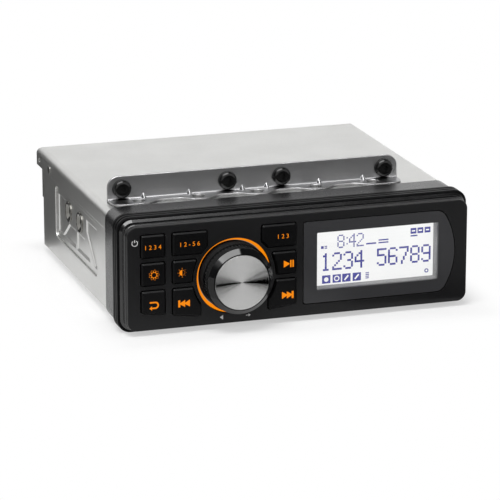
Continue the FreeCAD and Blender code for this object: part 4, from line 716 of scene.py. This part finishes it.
def panel_outline(inset):
    """The opening of the display panel, drawn in by a distance, from the panel's middle."""
    right = (PANEL_HIGH.x - PANEL_LOW.x) / 2 / MM + PANEL_GAP - inset
    top = (PANEL_HIGH.z - PANEL_LOW.z) / 2 / MM + PANEL_GAP - inset
    radius = PANEL_ARC - inset
    reach = math.degrees(math.asin((top - PANEL_CORNER / 2) / radius))
    round_side = arc_points(right - radius, 0, radius, -reach, reach, 24)
    shoulder = round_side[0][0] - PANEL_CORNER / 2
    return [(-right, -top), (shoulder, -top), *round_side, (shoulder, top), (-right, top)]


def gear_mark():
    """A cogwheel with a round hole and a small hole in each of its lobes."""
    lobes, steps = (9, 108)
    outer = []
    for step in range(steps):
        angle = math.radians(step * 360 / steps)
        radius = 2.62 + 0.3 * math.cos(lobes * angle)
        outer.append((radius * math.cos(angle), radius * math.sin(angle)))
    small = [circle_points(x, z, 0.58, 12) for x, z in circle_points(0, 0, 2.16, lobes)]
    return [[outer, circle_points(0, 0, 1.36), *small]]


def return_mark():
    outline = [(-2.68, 2.18), (0.64, 2.18)]
    outline += arc_points(0.64, 0, 2.18, 90, -90, 20)[1:]
    outline += [(-1.37, -2.18), (-1.37, -3.02), (-2.95, -1.72), (-1.37, -0.42), (-1.37, -1.26)]
    outline += [(0.64, -1.26)]
    outline += arc_points(0.64, 0, 1.26, -90, 90, 16)[1:]
    outline += [(-2.68, 1.26)]
    return [[outline]]


def brightness_mark():
    """A sun, filled at the left and dotted at the right."""
    half_disc = arc_points(0, 0, 1.75, 90, 270, 20)
    dots = [[bar_points(0, 0, angle, 1.45, 1.75, 0.34)] for angle in range(-75, 76, 30)]
    long_rays = [[bar_points(0, 0, angle, 2.25, 2.8, 0.26)] for angle in range(90, 271, 45)]
    short_rays = [[bar_points(0, 0, angle, 2.3, 2.6, 0.2)] for angle in (-45, 0, 45)]
    return [[half_disc], *dots, *long_rays, *short_rays]


def next_outline():
    upper = [(-3.45, 2.08), (-0.62, 0.42), (-0.62, 2.08), (2.22, 0.42), (2.22, 2.08), (3.45, 2.08)]
    lower = [(x, -z) for x, z in reversed(upper)]
    return soften(upper + lower, 0.3)


def next_mark():
    return [[next_outline()]]


def previous_mark():
    return [[mirrored(next_outline())]]


def play_mark():
    arrow = soften([(-2.95, 2.05), (0.45, 0.2), (0.45, -0.2), (-2.95, -2.05)], 0.3)
    bars = [soften(block_points(left, -2.05, left + 0.85, 2.05), 0.2) for left in (0.75, 2.1)]
    return [[arrow], [bars[0]], [bars[1]]]


def power_mark():
    outer = arc_points(0, 0, 1.68, 125, 415, 30)
    inner = arc_points(0, 0, 1.3, 415, 125, 30)
    return [[outer + inner], [block_points(-0.2, 0.35, 0.2, 1.85)]]


def push_mark():
    return [[[(-0.95, 0.0), (0.85, -1.3), (0.85, 1.3)]]]


def turn_mark():
    shaft = [(-1.3, -0.2), (0.1, -0.2), (0.1, -0.85), (1.3, 0.0), (0.1, 0.85), (0.1, 0.2), (-1.3, 0.2)]
    return [[shaft]]


# Marks of the keys: what they show, their place on the face plate, and a sign's size.
SYMBOLS = {
    "settings": (gear_mark, -80.26, 30.28, 0.96),
    "return": (return_mark, -80.3, 13.95, 0.9),
    "brightness": (brightness_mark, -65.06, 30.18, 0.88),
    "previous": (previous_mark, -64.16, 13.48, 0.92),
    "play": (play_mark, -6.81, 29.83, 0.94),
    "next": (next_mark, -7.31, 12.83, 0.94),
}
NUMBERS = {
    "source": ("1 2 3 4", -80.8, 45.0),
    "preset": ("1 2 - 5 6", -60.96, 45.1),
    "band": ("1 2 3", -10.06, 44.9),
}
FACE_MARKS = {
    "power": (power_mark, -90.0, 47.6),
    "push": (push_mark, -43.3, 3.5),
    "turn": (turn_mark, -28.6, 3.4),
}

# Display picture, in millimetres from the middle of the display glass

DOT_DIGITS = {
    "0": ".###./#...#/#...#/#...#/#...#/#...#/#...#/#...#/.###.",
    "1": "..#../.##../..#../..#../..#../..#../..#../..#../.###.",
    "2": ".###./#...#/....#/....#/...#./..#../.#.../#..../#####",
    "3": ".###./#...#/....#/....#/..##./....#/....#/#...#/.###.",
    "4": "...#./..##./.#.#./#..#./#..#./#####/...#./...#./...#.",
    "5": "#####/#..../#..../####./....#/....#/....#/#...#/.###.",
    "6": ".###./#...#/#..../#..../####./#...#/#...#/#...#/.###.",
    "7": "#####/....#/....#/...#./...#./..#../..#../.#.../.#...",
    "8": ".###./#...#/#...#/#...#/.###./#...#/#...#/#...#/.###.",
    "9": ".###./#...#/#...#/#...#/.####/....#/....#/#...#/.###.",
    ":": ".../.../.#./.../.../.../.#./.../...",
    " ": "",
}
MAIN_ROW = (-29.26, 1.84, 6.3)
CLOCK_ROW = (-20.15, 11.32, 4.3)
# Room that a colon takes, as a share of a digit's.
COLON_SHARE = 0.52
LOW_BOXES = (-28.6, -22.7, -17.25, -11.4)
HIGH_BOXES = (21.2, 25.1, 29.2)


def dot_blocks(text, row, side, pitch):
    """The dots of a text as square blocks, from the upper left corner."""
    left, top, step = row
    blocks = []
    for letter in text:
        for line, dots in enumerate(DOT_DIGITS[letter].split("/")):
            for column, dot in enumerate(dots):
                if dot == "#":
                    x = left + column * pitch
                    z = top - line * pitch - side
                    blocks.append([block_points(x, z, x + side, z + side)])
        left += step * (COLON_SHARE if letter == ":" else 1.0)
    return blocks


def display_bars():
    bars = [
        block_points(-3.9, 4.65, 1.7, 5.5),
        block_points(3.05, 4.7, 8.65, 5.4),
        block_points(3.05, 6.15, 8.65, 6.85),
        block_points(21.25, 6.85, 25.1, 7.6),
        block_points(-29.3, 4.4, -27.8, 5.9),
        block_points(-27.3, 4.4, -25.9, 5.0),
        block_points(-27.3, 5.4, -25.9, 5.9),
    ]
    level = [block_points(-4.1, -14.1 + 0.95 * step, -2.2, -13.55 + 0.95 * step) for step in range(4)]
    ring = [circle_points(30.57, -12.75, 1.15), circle_points(30.57, -12.75, 0.62)]
    return [[bar] for bar in bars + level] + [ring]


def display_boxes():
    """Filled boxes with plain signs cut into them."""
    shapes = []
    disc = [circle_points(0, -0.1, 1.25)]
    ring = [circle_points(0, 0, 1.55), circle_points(0, 0, 0.95)]
    stroke = [soften(bar_points(0, 0, 50, -1.7, 1.7, 0.9), 0.4)]
    signs = (disc, ring, stroke, stroke)
    for left, sign in zip(LOW_BOXES, signs):
        box = block_points(left, -14.83, left + 4.7, -10.33)
        holes = [[(x + left + 2.35, z - 12.58) for x, z in outline] for outline in sign]
        shapes.append([box, *holes])
    for left in HIGH_BOXES:
        box = block_points(left, 8.37, left + 3.3, 11.47)
        shapes.append([box, block_points(left + 0.7, 9.5, left + 2.6, 10.3)])
    return shapes


# Operators


class ReceiverOperator(bpy.types.Operator):
    bl_options = {"REGISTER", "UNDO"}

    @property
    def sizes(self):
        return bpy.context.scene.receiver_sizes

    def tone(self, name):
        return tuple(getattr(bpy.context.scene.receiver_colours, name))

    def lay_mark(self, name, shapes, low, x, z, material, body, slot):
        """Lay a mark on a front surface, by its place from the face plate's lower middle."""
        front = low.y - self.sizes.mark_proud + self.sizes.mark_thick / 2
        middle = (FACE_LOW.x + FACE_HIGH.x) / 2 / MM
        stand_piece(name, shapes, middle + x, front, FACE_LOW.z / MM + z, material, body)


class RECEIVER_OT_case(ReceiverOperator):
    """Finish the cover, the tub, the bracket and their fasteners"""

    bl_idname = "receiver.finish_case"
    bl_label = "Case and bracket"

    def execute(self, context):
        dress(plated("case_steel", self.tone("case"), 0.36, (1.0, 22.0, 22.0)))
        # The bracket's edges get a strong painted highlight.
        dress(plated("bracket_steel", self.tone("bracket"), 0.3, (1.0, 8.0, 8.0), 0.25, 0.8))
        dress(black_steel(shade(4, 4, 4)))
        dress(turned_metal("small_screw", shade(124, 124, 122), 0.36))
        dress(turned_metal("nut_steel", shade(120, 119, 115), 0.12))
        return {"FINISHED"}


class RECEIVER_OT_front(ReceiverOperator):
    """Finish the face plate, the keys, the bezel, the gasket and the collar"""

    bl_idname = "receiver.finish_front"
    bl_label = "Front"

    def execute(self, context):
        dress(moulded("face_plastic", self.tone("face"), 0.36, 0.2, 0.01, 0.2))
        dress(moulded("bezel_plastic", self.tone("bezel"), 0.14, 0.25, 0.005, 0.7))
        dress(moulded("key_plastic", self.tone("keys"), 0.32, 0.18, 0.008, 0.12, 0.002))
        dress(moulded("collar_plastic", self.tone("collar"), 0.28, 0.4, 0.01, 0.4))
        dress(soft_rubber("gasket_rubber", self.tone("rubber")))
        return {"FINISHED"}


class RECEIVER_OT_knob(ReceiverOperator):
    """Finish the knob, its shaft and the lit ring round it"""

    bl_idname = "receiver.finish_knob"
    bl_label = "Knob"

    def execute(self, context):
        dress(spun_aluminium(self.tone("cap")))
        dress(knob_black(self.tone("knob")))
        dress(turned_metal("shaft_steel", shade(180, 178, 172), 0.25))
        dress(lit_plastic("ring_orange", self.tone("glow"), 1.0))
        return {"FINISHED"}


class RECEIVER_OT_display(ReceiverOperator):
    """Finish the display panel, its window, its frame and its glass"""

    bl_idname = "receiver.finish_display"
    bl_label = "Display"

    def execute(self, context):
        dress(moulded("panel_plastic", self.tone("panel"), 0.34, 0.3, 0.003, 0.3))
        dress(window_clear())
        dress(moulded("frame_plastic", self.tone("frame"), 0.6, 0.25, 0.003, 0.2))
        dress(display_glass(self.tone("glass")))
        dress(lit_plastic("light_plastic", shade(240, 238, 225), 0.2))
        # A black ring in the gap round the display panel: painted shade where the gap falls dark.
        shade_black = soft_rubber("seal_foam", shade(3, 3, 3))
        outlines = [panel_outline(SHADE_RING_CLEAR), panel_outline(PANEL_GAP - SHADE_RING_CLEAR)]
        shade_ring_plate = cut_plate(outlines, self.sizes.mark_thick)
        x, _, z = (PANEL_LOW + PANEL_HIGH) / 2 / MM
        front = PANEL_LOW.y + SHADE_RING_BACK
        stand_piece("panel_seal", [shade_ring_plate], x, front, z, shade_black, "receiver")
        return {"FINISHED"}


class RECEIVER_OT_inside(ReceiverOperator):
    """Finish the boards, their parts and the sockets at the rear"""

    bl_idname = "receiver.finish_inside"
    bl_label = "Inside and rear"

    def execute(self, context):
        dress(moulded("switch_plastic", shade(40, 40, 42), 0.45, 0.2, 0.01))
        dress(circuit_board(shade(18, 84, 48)))
        dress(moulded("part_black", shade(24, 24, 26), 0.5, 0.15, 0.012))
        dress(turned_metal("can_steel", shade(200, 200, 196), 0.28))
        dress(plated("sink_aluminium", shade(190, 192, 194), 0.36, (20.0, 20.0, 1.0)))
        dress(turned_metal("standoff_brass", shade(205, 172, 96), 0.28))
        dress(wound_copper(shade(176, 96, 52)))
        dress(moulded("ribbon_film", shade(206, 200, 184), 0.42, 0.6, 0.01))
        dress(moulded("socket_plastic", shade(196, 194, 186), 0.42, 0.25, 0.015))
        dress(turned_metal("contact_brass", shade(214, 182, 104), 0.25))
        dress(moulded("fuse_plastic", shade(60, 96, 190), 0.24, 0.3, 0.004, 0.5))
        return {"FINISHED"}


class RECEIVER_OT_key_marks(ReceiverOperator):
    """Set lit signs and numbers into the key caps"""

    bl_idname = "receiver.key_marks"
    bl_label = "Key marks"

    def execute(self, context):
        lit = lit_plastic("lit_mark", self.tone("glow"), 1.0, 0.1)
        thick = self.sizes.mark_thick
        for name, (mark, x, z, share) in SYMBOLS.items():
            self.set_in(name, [cut_plate(shape, thick) for shape in resized(mark(), share)], x, z, lit)
        for name, (numbers, x, z) in NUMBERS.items():
            self.set_in(name, [number_curve(numbers, self.sizes.number_high, thick)], x, z, lit)
        return {"FINISHED"}

    def set_in(self, name, shapes, x, z, lit):
        key = f"{name}_key"
        low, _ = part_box(key)
        self.lay_mark(f"{name}_mark", shapes, low, x, z, lit, f"{name}_button", "light_plastic")


class RECEIVER_OT_face_marks(ReceiverOperator):
    """Print the plain signs on the face plate"""

    bl_idname = "receiver.face_marks"
    bl_label = "Face marks"

    def execute(self, context):
        ink = moulded("face_print", self.tone("print"), 0.5, 0.12, 0.002, 0.3)
        for name, (mark, x, z) in FACE_MARKS.items():
            shapes = [cut_plate(shape, self.sizes.mark_thick) for shape in mark()]
            self.lay_mark(f"{name}_print", shapes, FACE_LOW, x, z, ink, "receiver", "face_plastic")
        return {"FINISHED"}


class RECEIVER_OT_display_picture(ReceiverOperator):
    """Draw the display's digits, bars and boxes on its glass"""

    bl_idname = "receiver.display_picture"
    bl_label = "Display picture"

    def execute(self, context):
        ink = display_ink(self.tone("ink"))
        sizes = self.sizes
        pieces = {
            "digits": dot_blocks(sizes.display_text, MAIN_ROW, sizes.dot_side / MM, sizes.dot_pitch / MM),
            "clock": dot_blocks(sizes.clock_text, CLOCK_ROW, sizes.clock_side / MM, sizes.clock_pitch / MM),
            "bars": display_bars(),
            "boxes": display_boxes(),
        }
        x, _, z = (GLASS_LOW + GLASS_HIGH) / 2 / MM
        front = GLASS_LOW.y - sizes.ink_thick / 2
        for name, outlines in pieces.items():
            shapes = [cut_plate(outline, sizes.ink_thick) for outline in outlines]
            stand_piece(f"display_{name}", shapes, x, front, z, ink, "receiver")
        return {"FINISHED"}


# Studio

FLOOR_RADIUS = 4.0


def seen_share(tree):
    """How far a ray belongs to what the picture, reflections and clear parts show."""
    rays = ray_kinds(tree)
    seen = reckon(tree, "MAXIMUM", rays["Is Camera Ray"], rays["Is Glossy Ray"])
    return reckon(tree, "MAXIMUM", seen, rays["Is Transmission Ray"])


def bare_material(name):
    """A material with an empty node tree but for its output."""
    material = bpy.data.materials.new(name)
    material.use_nodes = True
    tree = material.node_tree
    tree.nodes.remove(tree.nodes["Principled BSDF"])
    return material, tree


def pale_floor(reach):
    """Pale floor that keeps the contact shadow and becomes the background further out."""
    material, tree = bare_material("pale_floor")
    place = surface(tree)["Position"]
    soft = rescale(tree, noise(tree, place, 30.0, 3.0), NOISE_LOW, NOISE_HIGH)
    tint = mix_colours(tree, soft, (0.96, 0.96, 0.96), (0.945, 0.945, 0.945))
    plain = put(tree, "ShaderNodeBsdfDiffuse", {"Color": tint})
    bright = put(tree, "ShaderNodeEmission", {"Color": WHITE, "Strength": 1.0})
    half = (Vector(CAD_BOX[1]) - Vector(CAD_BOX[0])) / 2
    half.z = 0.0
    flat = reckon_vector(tree, "MULTIPLY", place, (1.0, 1.0, 0.0))
    outside = reckon_vector(tree, "SUBTRACT", reckon_vector(tree, "ABSOLUTE", flat), half)
    distance = reckon_vector(tree, "LENGTH", reckon_vector(tree, "MAXIMUM", outside))
    far = rescale(tree, distance, -reach, reach)
    show(tree, blend(tree, product(tree, far, seen_share(tree)), plain, bright))
    return material


def light_room(settings):
    """Even room light; reflections show a pale wall behind, a broad light in front and a window."""
    world = bpy.data.worlds.new("Studio")
    bpy.context.scene.world = world
    world.use_nodes = True
    tree = world.node_tree
    room = tree.nodes["Background"]
    join(tree, WHITE, room.inputs["Color"])
    join(tree, settings.room, room.inputs["Strength"])
    direction = put(tree, "ShaderNodeTexCoord").outputs["Generated"]
    axes = put(tree, "ShaderNodeSeparateXYZ", {"Vector": direction}).outputs

    def fade(axis, start, end):
        return rescale(tree, axes[axis], start, end)

    pale = product(tree, fade("Y", -0.05, 0.35), fade("Z", 0.85, 0.45), settings.wall)
    broad = product(tree, fade("Y", -0.2, -0.45), fade("X", -0.85, -0.65), fade("Z", 0.85, 0.7))
    broad = product(tree, broad, settings.front)
    sides = product(tree, fade("X", -0.68, -0.6), fade("X", 0.28, 0.2))
    pane = product(tree, sides, fade("Z", 0.64, 0.7), fade("Y", 0.02, -0.06), settings.window)
    strength = total(tree, pale, broad, pane, settings.dark)
    mirrored_room = put(tree, "ShaderNodeBackground", {"Color": WHITE, "Strength": strength})
    white = put(tree, "ShaderNodeBackground", {"Color": WHITE, "Strength": settings.background})
    rays = ray_kinds(tree)
    clear = reckon(tree, "MAXIMUM", rays["Is Camera Ray"], rays["Is Transmission Ray"])
    glossy = blend(tree, rays["Is Glossy Ray"], room, mirrored_room)
    show(tree, blend(tree, clear, glossy, white), "World Output")


def card_surface(level):
    """An even grey that reflections show as it is."""
    material, tree = bare_material("card")
    place = surface(tree)["Position"]
    cloudy = noise(tree, place, 12.0, 2.0)
    soft = rescale(tree, cloudy, NOISE_LOW, NOISE_HIGH, level * 0.94, level * 1.06)
    show(tree, put(tree, "ShaderNodeEmission", {"Color": WHITE, "Strength": soft}))
    return material


def at_height(corners, height):
    return [(x, y, height) for x, y in corners]


def flat_object(name, corners, material):
    """One flat face, from corners in metres."""
    mesh = bpy.data.meshes.new(name)
    mesh.from_pydata(corners, [], [range(len(corners))])
    mesh.materials.append(material)
    return add_object(name, mesh)


def set_card(name, corners, level):
    """A flat card that only shiny surfaces show, as a studio's black flags do."""
    card = flat_object(name, corners, card_surface(level))
    for rays in ("camera", "diffuse", "shadow", "transmission"):
        setattr(card, f"visible_{rays}", False)


def soft_light(name, place, target, wide, high, power):
    data = bpy.data.lights.new(name, "AREA")
    data.shape = "RECTANGLE"
    data.size = wide
    data.size_y = high
    data.energy = power
    lamp = add_object(name, data)
    lamp.location = place
    lamp.rotation_euler = (Vector(target) - Vector(place)).to_track_quat("-Z", "Y").to_euler()
    lamp.visible_glossy = False


def lay_floor(reach):
    """A wide round floor."""
    corners = at_height(circle_points(0.0, 0.0, FLOOR_RADIUS, 96), 0.0)
    floor = flat_object("studio_floor", corners, pale_floor(reach))


def floor_ring(inner, outer, start, end, steps=30):
    """Corners of a flat ring sector on the floor about the knob, between two angles."""
    middle = (KNOB_LOW.x + KNOB_HIGH.x) / 2
    near, far = (arc_points(middle, KNOB_LOW.y, radius, start, end, steps) for radius in (inner, outer))
    return near + far[::-1]


# Lights of the studio: their place, what they shine at, their width and height, in metres.
LIGHTS = (
    ("top", (-0.33, -0.44, 1.15), (-0.1, -0.1, 0.0), 0.7, 0.45),
    ("left", (-1.2, -0.9, 0.7), (0.0, 0.0, 0.03), 0.7, 0.9),
    ("right", (1.2, -0.7, 0.8), (0.0, 0.0, 0.03), 0.6, 0.9),
)

# Cards of the studio: corners in metres and grey level.
CARDS = (
    ("near_card", at_height(block_points(-0.6, -0.245, 0.7, -0.1), 0.002), 0.65),
    ("dark_ring", at_height(floor_ring(0.068, 0.148, -145, 5), 0.004), 0.0),
    ("far_card", at_height(block_points(-0.6, -0.7, 0.9, -0.245), 0.002), 0.12),
    ("left_card", at_height([(-0.098, 0.09), (-0.6, 0.15), (-0.6, 0.8), (-0.098, 0.8)], 0.002), 0.08),
    ("left_wall", [(-0.8, 0.4, 0.0), (-0.105, 0.4, 0.0), (-0.105, 0.4, 0.13), (-0.8, 0.4, 0.13)], 0.1),
)

# The camera's turn and rise in degrees, and the face plate's place before it in millimetres.
CAMERA_TURN = -18.04
CAMERA_RISE = 15.92
CAMERA_SHIFT = (26.3, -34.86, -1599.18)


def set_camera(settings):
    """The camera of the picture, placed from the face plate's lower middle."""
    turn, rise = math.radians(CAMERA_TURN), math.radians(CAMERA_RISE)
    right = Vector((math.cos(turn), math.sin(turn), 0.0))
    back = Vector((math.sin(turn) * math.cos(rise), -math.cos(turn) * math.cos(rise), math.sin(rise)))
    axes = Matrix((right, back.cross(right), back)).transposed()
    origin = Vector(((FACE_LOW.x + FACE_HIGH.x) / 2, FACE_LOW.y, FACE_LOW.z))
    data = bpy.data.cameras.new("Camera")
    data.sensor_fit = "HORIZONTAL"
    data.sensor_width = 36.0
    data.lens = settings.lens
    data.clip_start = 0.05
    data.clip_end = 50.0
    camera = add_object("Camera", data)
    place = origin - axes @ (Vector(CAMERA_SHIFT) * MM)
    camera.matrix_world = Matrix.Translation(place) @ axes.to_4x4()
    bpy.context.scene.camera = camera


class RECEIVER_OT_studio(ReceiverOperator):
    """Lay the floor, set the lights and the camera"""

    bl_idname = "receiver.studio"
    bl_label = "Studio"

    def execute(self, context):
        settings = context.scene.receiver_studio
        context.scene.view_settings.view_transform = "Standard"
        lay_floor(settings.shadow)
        light_room(settings)
        for card in CARDS:
            set_card(*card)
        for side, place, target, wide, high in LIGHTS:
            soft_light(f"{side}_light", place, target, wide, high, getattr(settings, f"{side}_power"))
        set_camera(settings)
        return {"FINISHED"}


class RECEIVER_PT_panel(bpy.types.Panel):
    bl_label = "Car audio receiver"
    bl_idname = "RECEIVER_PT_panel"
    bl_space_type = "VIEW_3D"
    bl_region_type = "UI"
    bl_category = "Receiver"

    def draw(self, context):
        for operator in OPERATORS:
            self.layout.operator(operator.bl_idname)
        for name in SETTINGS:
            settings = getattr(context.scene, name)
            box = self.layout.box()
            for setting in settings.__annotations__:
                box.prop(settings, setting)


SETTINGS = {
    "receiver_colours": ReceiverColours,
    "receiver_sizes": ReceiverSizes,
    "receiver_studio": StudioSettings,
}
OPERATORS = (
    RECEIVER_OT_case,
    RECEIVER_OT_front,
    RECEIVER_OT_knob,
    RECEIVER_OT_display,
    RECEIVER_OT_inside,
    RECEIVER_OT_key_marks,
    RECEIVER_OT_face_marks,
    RECEIVER_OT_display_picture,
    RECEIVER_OT_studio,
)
CLASSES = (*SETTINGS.values(), *OPERATORS, RECEIVER_PT_panel)


def register():
    for entry in CLASSES:
        bpy.utils.register_class(entry)
    for name, group in SETTINGS.items():
        setattr(bpy.types.Scene, name, PointerProperty(type=group))


def unregister():
    for name in SETTINGS:
        delattr(bpy.types.Scene, name)
    for entry in reversed(CLASSES):
        bpy.utils.unregister_class(entry)


def main():
    register()
    make_effects()
    bpy.ops.receiver.finish_case()
    bpy.ops.receiver.finish_front()
    bpy.ops.receiver.finish_knob()
    bpy.ops.receiver.finish_display()
    bpy.ops.receiver.finish_inside()
    bpy.ops.receiver.key_marks()
    bpy.ops.receiver.face_marks()
    bpy.ops.receiver.display_picture()
    bpy.ops.receiver.studio()


if __name__ == "__main__":
    main()
